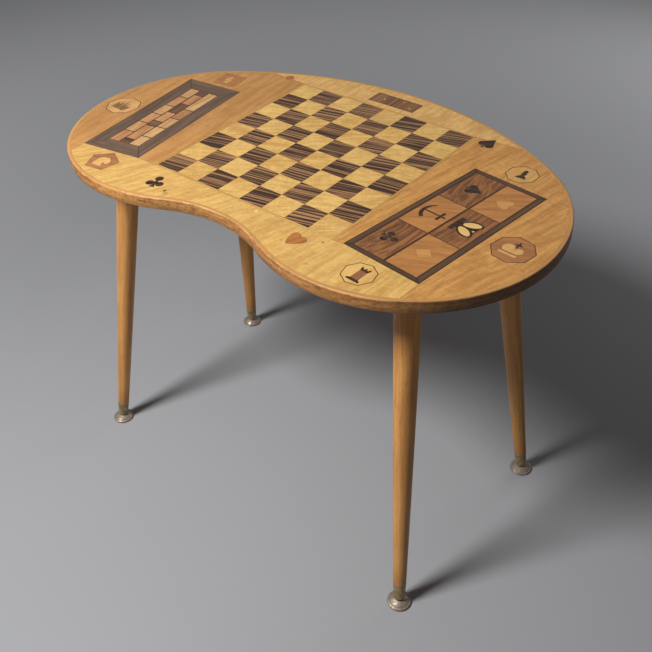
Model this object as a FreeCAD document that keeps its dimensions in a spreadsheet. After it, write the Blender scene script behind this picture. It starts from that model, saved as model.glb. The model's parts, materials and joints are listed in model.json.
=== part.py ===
import FreeCAD, Part
import math
import os
import Sketcher

# A low kidney-shaped games table. The top is a veneered board with a solid edge band and an inlaid
# face: a chessboard, a brick panel, a crown-and-anchor panel, chess medallions, suits and a domino.
# Four splayed turned legs screw into angled plates under the top. Each leg ends in a tapered ferrule
# and a foot that tilts on a ball stud and turns about its own axis.
# The frame is +X to the right, +Y to the back and +Z up. The origin is on the floor, at the middle
# of the box round the whole table. All lengths are in millimetres and all angles in degrees.

doc = FreeCAD.newDocument("games_table")

# The driving sizes: name, value and what it measures.
SIZES = [
    ("table_height", 516, "floor to the inlaid face"),
    ("top_thickness", 17, "face to underside, veneers included"),
    ("square", 38, "side of a chess square"),
    ("left_room", 223, "left end of the top to the chessboard"),
    ("right_room", 224, "chessboard to the right end of the top"),
    ("front_room", 80, "front of the lobes to the chessboard"),
    ("back_room", 63.5, "chessboard to the back of the top"),
    ("widest_inset", 190, "front line to the widest line of the kidney"),
    ("lobe_inset", 198, "end of the top to the front of a lobe"),
    ("bay_depth", 39.5, "front of the lobes to the middle of the bay"),
    ("band_width", 5, "solid edge band"),
    ("band_round", 1.8, "rounded arrises of the edge band"),
    ("face_veneer", 0.9, "inlaid face"),
    ("backing_veneer", 0.9, "balancing veneer under the core"),
    ("board_string", 3, "border string round the chessboard"),
    ("brick_line", 1.6, "dark line between bricks"),
    ("divider_width", 2.6, "middle strip of the crown-and-anchor panel"),
    ("cross_line", 1.0, "cross strings of the crown-and-anchor panel"),
    ("outline_string", 0.8, "dark string round a medallion"),
    ("domino_line", 1.0, "border and divider of the domino"),
    ("leg_shift", 3.5, "leg pattern right of the middle of the top"),
    ("front_top_end", 132, "end of the top to a front leg at the underside"),
    ("front_top_inset", 98, "front line to a front leg at the underside"),
    ("front_foot_end", 76, "end of the top to a front foot"),
    ("front_foot_inset", 10, "front line to a front foot"),
    ("back_top_end", 136, "end of the top to a back leg at the underside"),
    ("back_top_inset", 137.5, "back of the top to a back leg at the underside"),
    ("left_foot_end", 76.5, "end of the top to the back left foot"),
    ("left_foot_inset", 107, "back of the top to the back left foot"),
    ("right_foot_end", 64, "end of the top to the back right foot"),
    ("right_foot_inset", 119.5, "back of the top to the back right foot"),
    ("leg_top_radius", 17.2, "turned leg at its top"),
    ("leg_round", 2, "rounded top edge of the leg"),
    ("seat_drop", 6.4, "underside to the seat of the leg, along the leg"),
    ("ferrule_top_radius", 9.2, "ferrule and leg where they meet"),
    ("ferrule_foot_radius", 8.2, "lower end of the ferrule"),
    ("ferrule_length", 26, "ferrule"),
    ("ferrule_wall", 0.9, "ferrule sleeve and its bottom"),
    ("ferrule_gap", 5, "centre of the ball to the ferrule, along the leg"),
    ("ball_height", 6.5, "floor to the centre of the ball"),
    ("ball_radius", 4, "ball of the stud"),
    ("stud_radius", 2.5, "pin of the stud"),
    ("stud_depth", 22, "pin of the stud inside the leg"),
    ("socket_radius", 6, "socket round the ball"),
    ("socket_cover", 1.8, "socket above the centre of the ball"),
    ("glide_radius", 17, "foot, at its bead"),
    ("glide_bead", 4, "height of the bead of the foot"),
    ("glide_bead_step", 1.5, "bead of the foot beyond its flat underside"),
    ("glide_base", 1.5, "bottom of the foot, under the socket"),
    ("glide_height", 9.2, "collar of the foot above the floor"),
    ("glide_lip", 0.85, "lip of the foot over the socket"),
    ("glide_mouth", 5, "opening in the lip of the foot, radius"),
    ("glide_collar", 6.6, "flat top of the collar, radius"),
    ("glide_dome_radius", 11, "where the dome of the foot meets its shoulder"),
    ("glide_dome_height", 7.3, "height of the dome there"),
    ("bolt_radius", 3.95, "hanger bolt"),
    ("bolt_reach", 18.5, "hanger bolt above the seat of the leg"),
    ("bolt_hold", 30, "hanger bolt inside the leg"),
    ("bolt_chamfer", 1, "both ends of the hanger bolt"),
    ("bolt_room", 5.5, "clearance hole in the top, radius"),
    ("plate_side", 60, "leg plate"),
    ("plate_thickness", 2, "leg plate"),
    ("plate_corner", 6, "rounded corners of the leg plate"),
    ("boss_radius", 13, "tilted boss of the leg plate"),
    ("screw_spacing", 44, "between screws along a side of the plate"),
    ("screw_radius", 1.9, "wood screw"),
    ("screw_head_radius", 3.8, "countersunk head"),
    ("screw_head_height", 1.8, "countersunk head"),
    ("screw_length", 15, "wood screw, head included"),
    ("screw_point", 3, "pointed end of the wood screw"),
    ("running_gap", 0.05, "clearance round everything that turns or screws in"),
    ("overrun", 2, "how far a cutting shape goes past a face"),
]
SQUARES_PER_SIDE = 8
# The shape of the kidney: how much of its room each end arc takes, and how the curve from a lobe
# into the bay is split between the hollow arc and the lobe's inner arc
SHOULDER_SHARE = 0.805
CORNER_SHARE = 0.98
BAY_SHARE = 0.4582

sheet = doc.addObject("Spreadsheet::Sheet", "sizes")
for row, (name, value, meaning) in enumerate(SIZES, start=1):
    sheet.set(f"A{row}", meaning)
    sheet.set(f"B{row}", str(value))
    sheet.setAlias(f"B{row}", name)
doc.recompute()


class Size:
    """A length worked out from the sheet: its value, and the expression that binds it to the cells."""

    def __init__(self, value, text):
        self.value = value
        self.text = text

    def __float__(self):
        return float(self.value)

    def __add__(self, other):
        return Size(float(self) + float(other), f"({self.text} + {text_of(other)})")

    def __sub__(self, other):
        return Size(float(self) - float(other), f"({self.text} - {text_of(other)})")

    def __mul__(self, factor):
        return Size(float(self) * float(factor), f"({self.text} * {text_of(factor)})")

    def __truediv__(self, divisor):
        return Size(float(self) / float(divisor), f"({self.text} / {text_of(divisor)})")

    def __neg__(self):
        return Size(-float(self), f"(-1 * {self.text})")


def text_of(value):
    return value.text if isinstance(value, Size) else repr(value)


def cell(name):
    return Size(float(sheet.get(name)), f"sizes.{name}")


def bind(item, **sizes):
    """Binds properties of an object to the sheet."""
    for prop, size in sizes.items():
        item.setExpression(prop, size.text)


def bind_base(item, x, y, z):
    for axis, size in zip("xyz", (x, y, z)):
        item.setExpression(f"Placement.Base.{axis}", size.text)


table_height = cell("table_height")
top_thickness = cell("top_thickness")
band_width = cell("band_width")
face_veneer = cell("face_veneer")
backing_veneer = cell("backing_veneer")
square = cell("square")
board_string = cell("board_string")
overrun = cell("overrun")
running_gap = cell("running_gap")
glide_radius = cell("glide_radius")
ball_height = cell("ball_height")
seat_drop = cell("seat_drop")
zero = face_veneer - face_veneer

underside = table_height - top_thickness
core_bottom = underside + backing_veneer
core_top = table_height - face_veneer
board_side = square * SQUARES_PER_SIDE
top_length = cell("left_room") + board_side + cell("right_room")
top_depth = cell("front_room") + board_side + cell("back_room")
front_line = -(top_depth + cell("front_foot_inset") - glide_radius) / 2
back_line = front_line + top_depth
board_left = -top_length / 2 + cell("left_room")
board_front = front_line + cell("front_room")

nodes = []


def node(item, name):
    """Labels a finished sub-part and lists it for writing."""
    item.Label = name
    nodes.append(item)
    return item


def feature(name, solids):
    """A sub-part whose shape Part's own functions make."""
    item = doc.addObject("Part::Feature", name)
    item.Shape = solids[0] if len(solids) == 1 else Part.makeCompound(solids)
    return node(item, name)


# The kidney outline
# Each half is five tangent arcs. Back and shoulder meet on the line through their centres, and so
# do corner and lobe. The lobe's inner arc runs into the bay, whose curve is hollow.


def quarter_oval(across, along, tight_share):
    """The radii of a quarter oval's two arcs: at its side, and at its front or back."""
    short, long = sorted((across, along))
    tight = tight_share * short
    wide = (short**2 + long**2 - 2 * long * tight) / (2 * (short - tight))
    return (tight, wide) if across > along else (wide, tight)


def direction(start, end):
    return math.atan2(end[1] - start[1], end[0] - start[0])


def meeting_turn(side_centre, side_radius, front_centre, front_radius):
    """The direction, from the wider arc's centre, in which two arcs run into each other."""
    if front_radius < side_radius:
        return direction(side_centre, front_centre)
    return direction(front_centre, side_centre)


def arc(centre, radius, start, end):
    circle = Part.Circle(FreeCAD.Vector(*centre, 0), FreeCAD.Vector(0, 0, 1), radius)
    return Part.ArcOfCircle(circle, start, end).toShape()


def kidney_face(inset, height):
    """The plan of the top, drawn in by inset, as a face at a height."""
    half = float(top_length) / 2
    front = float(front_line)
    back = float(back_line)
    widest = front + float(cell("widest_inset"))
    bay = front + float(cell("bay_depth"))
    lobe = half - float(cell("lobe_inset"))
    shoulder_radius, back_radius = quarter_oval(half, back - widest, SHOULDER_SHARE)
    corner_radius, lobe_radius = quarter_oval(half - lobe, widest - front, CORNER_SHARE)
    # the inner lobe arc and the bay arc together turn as far out as they turn back
    both_radii = (lobe**2 + (bay - front) ** 2) / (2 * (bay - front))
    bay_radius = both_radii * BAY_SHARE
    inner_radius = both_radii - bay_radius
    back_centre = (0, back - back_radius)
    shoulder_centre = (half - shoulder_radius, widest)
    corner_centre = (half - corner_radius, widest)
    lobe_centre = (lobe, front + lobe_radius)
    inner_centre = (lobe, front + inner_radius)
    bay_centre = (0, bay - bay_radius)
    shoulder_turn = meeting_turn(shoulder_centre, shoulder_radius, back_centre, back_radius)
    corner_turn = meeting_turn(corner_centre, corner_radius, lobe_centre, lobe_radius)
    bay_turn = direction(bay_centre, inner_centre)
    down = -math.pi / 2
    side = [
        arc(shoulder_centre, shoulder_radius - inset, 0, shoulder_turn),
        arc(corner_centre, corner_radius - inset, corner_turn, 0),
        arc(lobe_centre, lobe_radius - inset, down, corner_turn),
        arc(inner_centre, inner_radius - inset, bay_turn - math.pi, down),
    ]
    across = FreeCAD.Vector(1, 0, 0)
    mirrored = [edge.mirror(FreeCAD.Vector(0, 0, 0), across) for edge in side]
    ends = [
        arc(back_centre, back_radius - inset, shoulder_turn, math.pi - shoulder_turn),
        arc(bay_centre, bay_radius + inset, bay_turn, math.pi - bay_turn),
    ]
    wire = Part.Wire(Part.__sortEdges__(side + mirrored + ends))
    wire.translate(FreeCAD.Vector(0, 0, float(height)))
    return Part.Face(wire)


# The board under the veneer
# Its edge band, core and backing share the kidney outline. The core and the backing have clearance
# holes for the hanger bolts and pilot holes for the plate screws.

LEGS = ("front_left", "front_right", "back_left", "back_right")
SIDE_OF_LEG = {"front_left": -1, "front_right": 1, "back_left": -1, "back_right": 1}
FOOT_OF_LEG = {
    "front_left": "front_foot",
    "front_right": "front_foot",
    "back_left": "left_foot",
    "back_right": "right_foot",
}


def leg_ends(leg):
    """The ball's centre and the point where the leg's axis meets the underside, as sizes."""
    row = leg.split("_")[0]
    side = SIDE_OF_LEG[leg]
    foot = FOOT_OF_LEG[leg]

    def plan(name):
        x = cell("leg_shift") + (top_length / 2 - cell(f"{name}_end")) * side
        inset = cell(f"{name}_inset")
        return x, front_line + inset if row == "front" else back_line - inset

    return plan(foot) + (ball_height,), plan(f"{row}_top") + (underside,)


def leg_frame(leg):
    """Where a leg's pieces go: the ball's centre, with +Z up along the leg."""
    ball, top = leg_ends(leg)
    ball = FreeCAD.Vector(*(float(c) for c in ball))
    top = FreeCAD.Vector(*(float(c) for c in top))
    return FreeCAD.Placement(ball, FreeCAD.Rotation(FreeCAD.Vector(0, 0, 1), top - ball))


def axis_length(leg):
    """From the ball's centre to the underside, along the leg."""
    ball, top = leg_ends(leg)
    steps = [end - start for start, end in zip(ball, top)]
    squares = steps[0] * steps[0] + steps[1] * steps[1] + steps[2] * steps[2]
    return Size(math.sqrt(float(squares)), f"sqrt({squares.text})")


def splay(leg):
    """The angle between the leg and the upright, in degrees."""
    rise = float(underside - ball_height)
    return math.degrees(math.acos(rise / float(axis_length(leg))))


def splay_heading(leg):
    """The plan direction in which the leg leans outwards, in degrees."""
    ball, top = leg_ends(leg)
    return math.degrees(direction([float(c) for c in top], [float(c) for c in ball]))


def plate_frame(leg):
    """Where a plate's pieces go: on the underside, with +X the way the leg leans."""
    top = FreeCAD.Vector(*(float(c) for c in leg_ends(leg)[1]))
    return FreeCAD.Placement(top, FreeCAD.Rotation(FreeCAD.Vector(0, 0, 1), splay_heading(leg)))


def along_leg(leg, radius, start, length):
    """A cylinder on the leg's axis, start above the ball's centre."""
    base = FreeCAD.Vector(0, 0, float(start))
    rod = Part.makeCylinder(float(radius), float(length), base)
    rod.Placement = leg_frame(leg)
    return rod


def screw_places():
    """The four screws of a plate, in the plate's own frame."""
    half = cell("screw_spacing") / 2
    return [(half * x_side, half * y_side) for x_side in (-1, 1) for y_side in (-1, 1)]


def fixing_holes():
    """What the hanger bolts and the plate screws take out of the top."""
    holes = []
    depth = cell("screw_length") - cell("plate_thickness") + overrun / 2
    for leg in LEGS:
        reach = cell("bolt_reach") - seat_drop + overrun / 2
        start = axis_length(leg) - seat_drop
        holes.append(along_leg(leg, cell("bolt_room"), start, seat_drop + reach))
        for x, y in screw_places():
            base = FreeCAD.Vector(float(x), float(y), 0)
            hole = Part.makeCylinder(float(cell("screw_radius") + running_gap), float(depth), base)
            hole.Placement = plate_frame(leg)
            holes.append(hole)
    return holes


holes = fixing_holes()
up = FreeCAD.Vector(0, 0, 1)
core_thickness = core_top - core_bottom
core = kidney_face(float(band_width), core_bottom).extrude(up * float(core_thickness))
backing = kidney_face(float(band_width), underside).extrude(up * float(backing_veneer))
feature("top_core", [core.cut(holes)])
feature("backing_sheet", [backing.cut(holes)])


def edge_band():
    """A band round the board, with both outer arrises rounded."""
    outer = kidney_face(0, underside).extrude(up * float(top_thickness))
    inner = kidney_face(float(band_width), underside).extrude(up * float(top_thickness))
    arrises = [edge for face in outer.Faces if is_level(face) for edge in face.Edges]
    return outer.makeFillet(float(cell("band_round")), arrises).cut(inner)


def is_level(face):
    return face.BoundBox.ZLength < float(running_gap)


feature("edge_band", [edge_band()])

# The inlaid face
# Places on it are shares of a chess square, measured from the front left corner of the chessboard.
# Beyond the board the unit follows the room on that side, so that what lies there keeps its place
# between the board and the edge. Every piece is cut from flat outlines that its neighbours share,
# and all are one veneer thick.

# How many such units fill the room on each side, and with which the figures are sized
LEFT_ROOM_SHARE = 5.868
RIGHT_ROOM_SHARE = 5.895
FRONT_ROOM_SHARE = 2.105
BACK_ROOM_SHARE = 1.671
left_unit = float(cell("left_room")) / LEFT_ROOM_SHARE
right_unit = float(cell("right_room")) / RIGHT_ROOM_SHARE
front_unit = float(cell("front_room")) / FRONT_ROOM_SHARE
back_unit = float(cell("back_room")) / BACK_ROOM_SHARE
figure_unit = min(float(square), left_unit, right_unit, front_unit, back_unit)


def along_face(share, board_start, unit_before, unit_after):
    """A place along one direction of the face, which the chessboard divides in three."""
    if share < 0:
        return float(board_start) + share * unit_before
    if share > SQUARES_PER_SIDE:
        past_board = share - SQUARES_PER_SIDE
        return float(board_start + board_side) + past_board * unit_after
    return float(board_start) + share * float(square)


def on_face(x_share, y_share):
    x = along_face(x_share, board_left, left_unit, right_unit)
    y = along_face(y_share, board_front, front_unit, back_unit)
    return FreeCAD.Vector(x, y, float(core_top))


def places(pair_shares):
    return [on_face(*pair) for pair in pair_shares]


def polygon(points):
    return Part.Face(Part.makePolygon(list(points) + [points[0]]))


def thick(flat):
    """Veneer solids from flat faces."""
    return [face.extrude(up * float(face_veneer)) for face in flat.Faces]


def inlay(name, flats):
    return feature(name, [solid for flat in flats for solid in thick(flat)])


def blend(corners, u_share, v_share):
    """A point of a four-cornered panel: u runs left to right, v from the back to the front."""
    back_left, back_right, front_right, front_left = corners
    back = back_left + (back_right - back_left) * u_share
    front = front_left + (front_right - front_left) * u_share
    return back + (front - back) * v_share


def patch(corners, left, right, back, front):
    """A smaller panel inside a panel, between two u shares and two v shares."""
    return [
        blend(corners, left, back),
        blend(corners, right, back),
        blend(corners, right, front),
        blend(corners, left, front),
    ]


def mitred_frame(outer, inner):
    """Four strips between an outer and an inner panel, mitred at the corners."""
    strips = []
    for here in range(4):
        after = (here + 1) % 4
        strips.append(polygon([outer[here], outer[after], inner[after], inner[here]]))
    return strips


def drawn(path_shares, size, middle, rotation):
    """A figure from a unit outline: its size, its middle on the face and its rotation.

    A path item of two shares is a corner, and one of four is an arc through the first two.
    """
    place = FreeCAD.Placement(middle, rotation)

    def put(x_share, y_share):
        return place.multVec(FreeCAD.Vector(x_share * size, y_share * size, 0))

    edges = []
    last = put(*path_shares[0][-2:])
    for item in list(path_shares[1:]) + [path_shares[0][-2:]]:
        end = put(*item[-2:])
        if len(item) == 4:
            edges.append(Part.Arc(last, put(*item[:2]), end).toShape())
        elif (end - last).Length > float(running_gap):
            edges.append(Part.makeLine(last, end))
        last = end
    return Part.Face(Part.Wire(edges))


def both_sides(half_path):
    """A whole unit outline from its right half, which starts and ends on or beside the middle."""
    path = list(half_path)
    ends = [item[-2:] for item in half_path]
    if ends[-1][0] > 0:
        path.append((-ends[-1][0], ends[-1][1]))
    for here in range(len(half_path) - 1, 0, -1):
        x, y = ends[here - 1]
        middle = half_path[here][:-2]
        path.append(((-middle[0], middle[1]) if middle else ()) + (-x, y))
    if ends[0][0] == 0:
        path.pop()
        last = half_path[1][:-2]
        path[0] = ((-last[0], last[1]) if last else ()) + tuple(half_path[0][-2:])
    return closed(path)


def closed(path):
    """Moves an arc that leads back to the start to the end of the path, where drawn looks for it."""
    if len(path[0]) == 4:
        return [path[0][-2:]] + list(path[1:]) + [path[0]]
    return path


def disc(radius, middle):
    return Part.Face(Part.Wire(Part.makeCircle(radius, middle)))


def lobed(lobe_shares, path_shares, size, middle, rotation):
    """A figure of round lobes, each given by its middle and its radius, and a plain outline."""
    lobes = []
    for x_share, y_share, radius_share in lobe_shares:
        step = rotation.multVec(FreeCAD.Vector(x_share, y_share, 0)) * size
        lobes.append(disc(size * radius_share, middle + step))
    return merged(lobes + [drawn(path_shares, size, middle, rotation)])


def oval_shares(x_share, y_share, long_share, short_share, turn_share):
    """A unit outline of four arcs: an oval's middle, half length, half width and turn."""
    along = 2 * math.pi * turn_share

    def at(angle_share):
        far = long_share * math.cos(2 * math.pi * angle_share)
        wide = short_share * math.sin(2 * math.pi * angle_share)
        x = x_share + far * math.cos(along) - wide * math.sin(along)
        y = y_share + far * math.sin(along) + wide * math.cos(along)
        return x, y

    # the end arcs stop a twelfth of a turn off because there they run smoothly into the side arcs
    arc_shares = [(0, 1 / 12), (3 / 12, 5 / 12), (6 / 12, 7 / 12), (9 / 12, 11 / 12)]
    return [at(-1 / 12)] + [at(middle) + at(end) for middle, end in arc_shares]


def merged(faces):
    """One face from faces that overlap."""
    # they are thickened for it, because solids lose the seams between them and faces don't
    pieces = [solid for face in faces for solid in thick(face)]
    whole = pieces[0].fuse(pieces[1:]).removeSplitter()
    level = [face for face in whole.Faces if is_level(face)]
    return min(level, key=lambda face: face.BoundBox.ZMin)


def club_of(size, middle, rotation):
    return lobed(CLUB_LOBE_SHARES, CLUB_STEM_SHARES, size, middle, rotation)


def octagon(radius, middle, turn_share):
    """A regular octagon, as a face."""
    points = []
    for corner in range(8):
        angle = 2 * math.pi * (turn_share + corner / 8)
        reach = FreeCAD.Vector(math.cos(angle), math.sin(angle), 0)
        points.append(middle + reach * radius)
    return polygon(points)


def turned_by(turn_share):
    """A rotation on the face, as a share of a full turn."""
    return FreeCAD.Rotation(up, 360 * turn_share)


# Unit outlines of the figures, one high, pointing up
SPADE_SHARES = both_sides(
    [(0, 0.5), (0.18, 0.22, 0.36, -0.03), (0.41, -0.26, 0.26, -0.39), (0.12, -0.39, 0.045, -0.27),
     (0.06, -0.42, 0.14, -0.5)]
)
HEART_SHARES = both_sides(
    [(0, -0.5), (0.27, -0.24, 0.45, 0.1), (0.42, 0.4, 0.22, 0.46), (0.07, 0.42, 0, 0.28)]
)
CLUB_LOBE_SHARES = [(0, 0.29, 0.21), (-0.27, -0.17, 0.205), (0.27, -0.17, 0.205)]
CLUB_STEM_SHARES = both_sides([(0, 0.2), (0.11, -0.02), (0.05, -0.22), (0.15, -0.5)])
DIAMOND_SHARES = [(0, 0.5), (0.44, 0), (0, -0.5), (-0.44, 0)]
PAWN_SHARES = both_sides(
    [(0, 0.5), (0.14, 0.34, 0.09, 0.14), (0.17, 0, 0.08, -0.1), (0.18, -0.22, 0.31, -0.4),
     (0.31, -0.5)]
)
QUEEN_SHARES = both_sides(
    [(0, 0.5), (0.11, -0.06), (0.25, 0.38), (0.31, -0.06), (0.54, 0.2), (0.49, -0.46)]
)
KNIGHT_SHARES = [
    (-0.36, -0.5), (0.34, -0.5), (0.19, -0.32, 0.12, -0.1), (0.3, -0.2), (0.45, -0.12),
    (0.48, 0.06), (0.34, 0.26, 0.16, 0.38), (0.1, 0.52), (0, 0.4), (-0.36, 0.26, -0.42, -0.08),
    (-0.42, -0.3, -0.36, -0.5),
]
BISHOP_SHARES = [
    (-0.22, -0.5), (0.22, -0.5), (0.22, -0.36), (0.12, -0.32), (0.25, -0.14, 0.24, 0.06),
    (0.06, -0.04), (0.19, 0.18), (0.13, 0.34, 0.05, 0.44), (0, 0.52, -0.05, 0.44),
    (-0.3, 0.1, -0.12, -0.32), (-0.22, -0.36),
]
KING_LOBE_SHARES = [(-0.21, 0.02, 0.27), (0.28, -0.01, 0.21)]
KING_CROWN_SHARES = [(-0.38, -0.24), (0.36, -0.24), (0.3, 0), (-0.2, 0)]
KING_BAR_SHARES = [(-0.44, -0.32), (0.42, -0.32), (0.42, -0.46), (-0.44, -0.46)]
KING_CROSS_SHARES = [
    (0, 0.16), (0.08, 0.16), (0.08, 0.34), (0.2, 0.34), (0.2, 0.43), (0.08, 0.43), (0.08, 0.56),
    (0, 0.56), (0, 0.43), (-0.12, 0.43), (-0.12, 0.34), (0, 0.34),
]
ROOK_TOP_SHARES = [
    (-0.19, 0.27), (-0.27, 0.5), (-0.16, 0.5), (-0.14, 0.42), (-0.05, 0.42), (-0.04, 0.5),
    (0.04, 0.5), (0.05, 0.42), (0.14, 0.42), (0.16, 0.5), (0.27, 0.5), (0.19, 0.27),
]
ROOK_BODY_SHARES = [(-0.19, 0.27), (0.19, 0.27), (0.21, -0.34), (-0.21, -0.34)]
ROOK_BASE_SHARES = [
    (-0.21, -0.34), (0.21, -0.34), (0.35, -0.41), (0.35, -0.5), (-0.35, -0.5), (-0.35, -0.41),
]
CROWN_LOBE_SHARES = [(0.22, 0.09, 0.31, 0.15, 0.183), (-0.22, 0.09, 0.31, 0.15, 0.317)]
CROWN_JEWEL_SHARES = (0.04, 0.32, 0.042, 0.042, 0)
CROWN_SHARES = both_sides(
    [(0, 0.4), (0.19, 0.4), (0.36, 0.45, 0.46, 0.35), (0.43, 0, 0.19, -0.27), (0.4, -0.27),
     (0.4, -0.47)]
)
ANCHOR_ARM_SHARES = [
    (-0.475, -0.23), (0, -0.5, 0.475, -0.23), (0.37, -0.14), (0, -0.37, -0.43, -0.2),
]
ANCHOR_RING_SHARES = [(0, 0.46, 0.055)]
ANCHOR_SHANK_SHARES = [(-0.036, 0.46), (0.036, 0.46), (0.036, -0.42), (-0.036, -0.42)]
ANCHOR_STOCK_SHARES = [(-0.26, 0.37), (0.26, 0.37), (0.26, 0.26), (-0.26, 0.26)]


# The chessboard: a dark square at the front left, and a border string mitred round it


def chess_squares(name, dark):
    """Every second square of the board."""
    boxes = []
    for column in range(SQUARES_PER_SIDE):
        for rank in range(SQUARES_PER_SIDE):
            if ((column + rank) % 2 == 0) != dark:
                continue
            box = doc.addObject("Part::Box", f"{name}_{column}_{rank}")
            bind(box, Length=square, Width=square, Height=face_veneer)
            bind_base(box, board_left + square * column, board_front + square * rank, core_top)
            boxes.append(box)
    group = doc.addObject("Part::Compound", name)
    group.Links = boxes
    return node(group, name)


chess_squares("board_light_squares", dark=False)
chess_squares("board_dark_squares", dark=True)


def round_board(margin):
    """The chessboard's corners, or those of a square round it, from the back left one on."""
    low_x = float(board_left - margin)
    low_y = float(board_front - margin)
    far = float(board_side + margin * 2)
    corners = [(low_x, low_y + far), (low_x + far, low_y + far), (low_x + far, low_y), (low_x, low_y)]
    return [FreeCAD.Vector(x, y, float(core_top)) for x, y in corners]


string_edge = round_board(board_string)
inlay("board_strings", mitred_frame(string_edge, round_board(zero)))

# The brick panel: corners from the back left round to the front left
BRICK_OUTER_SHARES = [(-4.41, 5.77), (-1.77, 6.0), (-0.94, -0.11), (-3.52, -0.52)]
BRICK_INNER_SHARES = [(-3.66, 5.09), (-2.27, 5.2), (-1.64, 0.5), (-3.0, 0.27)]
brick_outer = places(BRICK_OUTER_SHARES)
brick_inner = places(BRICK_INNER_SHARES)
# Each column of bricks: its woods and its joints, from the back to the front
BRICK_COLUMN_SHARES = [
    ("cream pink cream pink cream pink", [0, 0.16, 0.336, 0.5, 0.662, 0.828, 1]),
    ("dark pink dark pink dark pink dark", [0, 0.075, 0.26, 0.427, 0.6, 0.687, 0.93, 1]),
    ("cream pink cream cream cream", [0, 0.33, 0.504, 0.677, 0.851, 1]),
]


def panel_span(corners, u_end, v_end):
    """The length of a panel's side that runs from its back left corner."""
    return (blend(corners, u_end, v_end) - corners[0]).Length


def brick_panel():
    """The bricks by wood, and the dark lines that are left between them."""
    half_line = float(cell("brick_line")) / 2
    u_gap = half_line / panel_span(brick_inner, 1, 0)
    v_gap = half_line / panel_span(brick_inner, 0, 1)
    columns = len(BRICK_COLUMN_SHARES)
    bricks = {"cream": [], "pink": [], "dark": []}
    for column, (woods, joints) in enumerate(BRICK_COLUMN_SHARES):
        left = column / columns + (u_gap if column > 0 else 0)
        right = (column + 1) / columns - (u_gap if column < columns - 1 else 0)
        for here, wood in enumerate(woods.split()):
            back = joints[here] + (v_gap if joints[here] > 0 else 0)
            front = joints[here + 1] - (v_gap if joints[here + 1] < 1 else 0)
            bricks[wood].append(polygon(patch(brick_inner, left, right, back, front)))
    lines = polygon(brick_inner).cut([brick for group in bricks.values() for brick in group])
    return bricks, lines


bricks, brick_lines = brick_panel()
inlay("brick_frame", mitred_frame(brick_outer, brick_inner))
inlay("brick_lines", [brick_lines])
inlay("cream_bricks", bricks["cream"])
inlay("pink_bricks", bricks["pink"])
inlay("dark_bricks", bricks["dark"])

# The crown-and-anchor panel: six cells, whose figures point to its right
ANCHOR_OUTER_SHARES = [(9.25, 6.12), (12.16, 5.75), (11.44, -0.38), (8.43, -0.03)]
ANCHOR_FRAME_U_SHARE = 0.085
ANCHOR_FRAME_V_SHARE = 0.033
# Where each figure's middle lies in the panel inside the frame
CELL_FIGURE_SHARES = {
    "spade": (0.26, 0.163), "heart": (0.76, 0.168), "anchor": (0.243, 0.497),
    "crown": (0.757, 0.488), "club": (0.221, 0.829), "diamond": (0.746, 0.82),
}
# The figures' heights, as shares of the figure unit
PANEL_SIZE_SHARES = {
    "spade": 0.658, "heart": 0.592, "anchor": 0.921, "crown": 0.96, "club": 0.625, "diamond": 0.658,
}
anchor_outer = places(ANCHOR_OUTER_SHARES)


def anchor_panel():
    """The panel's frame, its strings, its cells by wood and its figures by wood."""
    far_u = 1 - ANCHOR_FRAME_U_SHARE
    far_v = 1 - ANCHOR_FRAME_V_SHARE
    inner = patch(anchor_outer, ANCHOR_FRAME_U_SHARE, far_u, ANCHOR_FRAME_V_SHARE, far_v)
    u_gap = float(cell("divider_width")) / 2 / panel_span(inner, 1, 0)
    v_gap = float(cell("cross_line")) / 2 / panel_span(inner, 0, 1)
    cells = {}
    for here, row in enumerate(("back", "middle", "front")):
        back = here / 3 + (v_gap if here > 0 else 0)
        front = (here + 1) / 3 - (v_gap if here < 2 else 0)
        cells[row, "left"] = polygon(patch(inner, 0, 1 / 2 - u_gap, back, front))
        cells[row, "right"] = polygon(patch(inner, 1 / 2 + u_gap, 1, back, front))
    strings = polygon(inner).cut(list(cells.values()))

    rotation = FreeCAD.Rotation(FreeCAD.Vector(0, 1, 0), anchor_outer[1] - anchor_outer[0])

    def place_of(name):
        size = PANEL_SIZE_SHARES[name] * figure_unit
        return size, blend(inner, *CELL_FIGURE_SHARES[name]), rotation

    anchor = merged([
        drawn(ANCHOR_ARM_SHARES, *place_of("anchor")),
        drawn(ANCHOR_STOCK_SHARES, *place_of("anchor")),
        lobed(ANCHOR_RING_SHARES, ANCHOR_SHANK_SHARES, *place_of("anchor")),
    ])
    lobes = [drawn(oval_shares(*oval), *place_of("crown")) for oval in CROWN_LOBE_SHARES]
    jewel = drawn(oval_shares(*CROWN_JEWEL_SHARES), *place_of("crown"))
    crown = drawn(CROWN_SHARES, *place_of("crown")).cut(lobes + [jewel])
    spade = drawn(SPADE_SHARES, *place_of("spade"))
    heart = drawn(HEART_SHARES, *place_of("heart"))
    diamond = drawn(DIAMOND_SHARES, *place_of("diamond"))
    dark = [spade, club_of(*place_of("club")), anchor, crown]
    light = [heart, diamond, jewel] + lobes
    figures = dark + light
    red_cells = [
        cells[place].cut(figures)
        for place in (("back", "left"), ("middle", "right"), ("front", "left"))
    ]
    tan_cells = [
        cells[place].cut(figures)
        for place in (("back", "right"), ("middle", "left"), ("front", "right"))
    ]
    return inner, strings, red_cells, tan_cells, dark, light


inner, strings, red_cells, tan_cells, dark, light = anchor_panel()
inlay("anchor_frame", mitred_frame(anchor_outer, inner))
inlay("anchor_strings", [strings])
inlay("red_cells", red_cells)
inlay("tan_cells", tan_cells)
inlay("panel_dark_figures", dark)
inlay("panel_light_figures", light)

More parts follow.
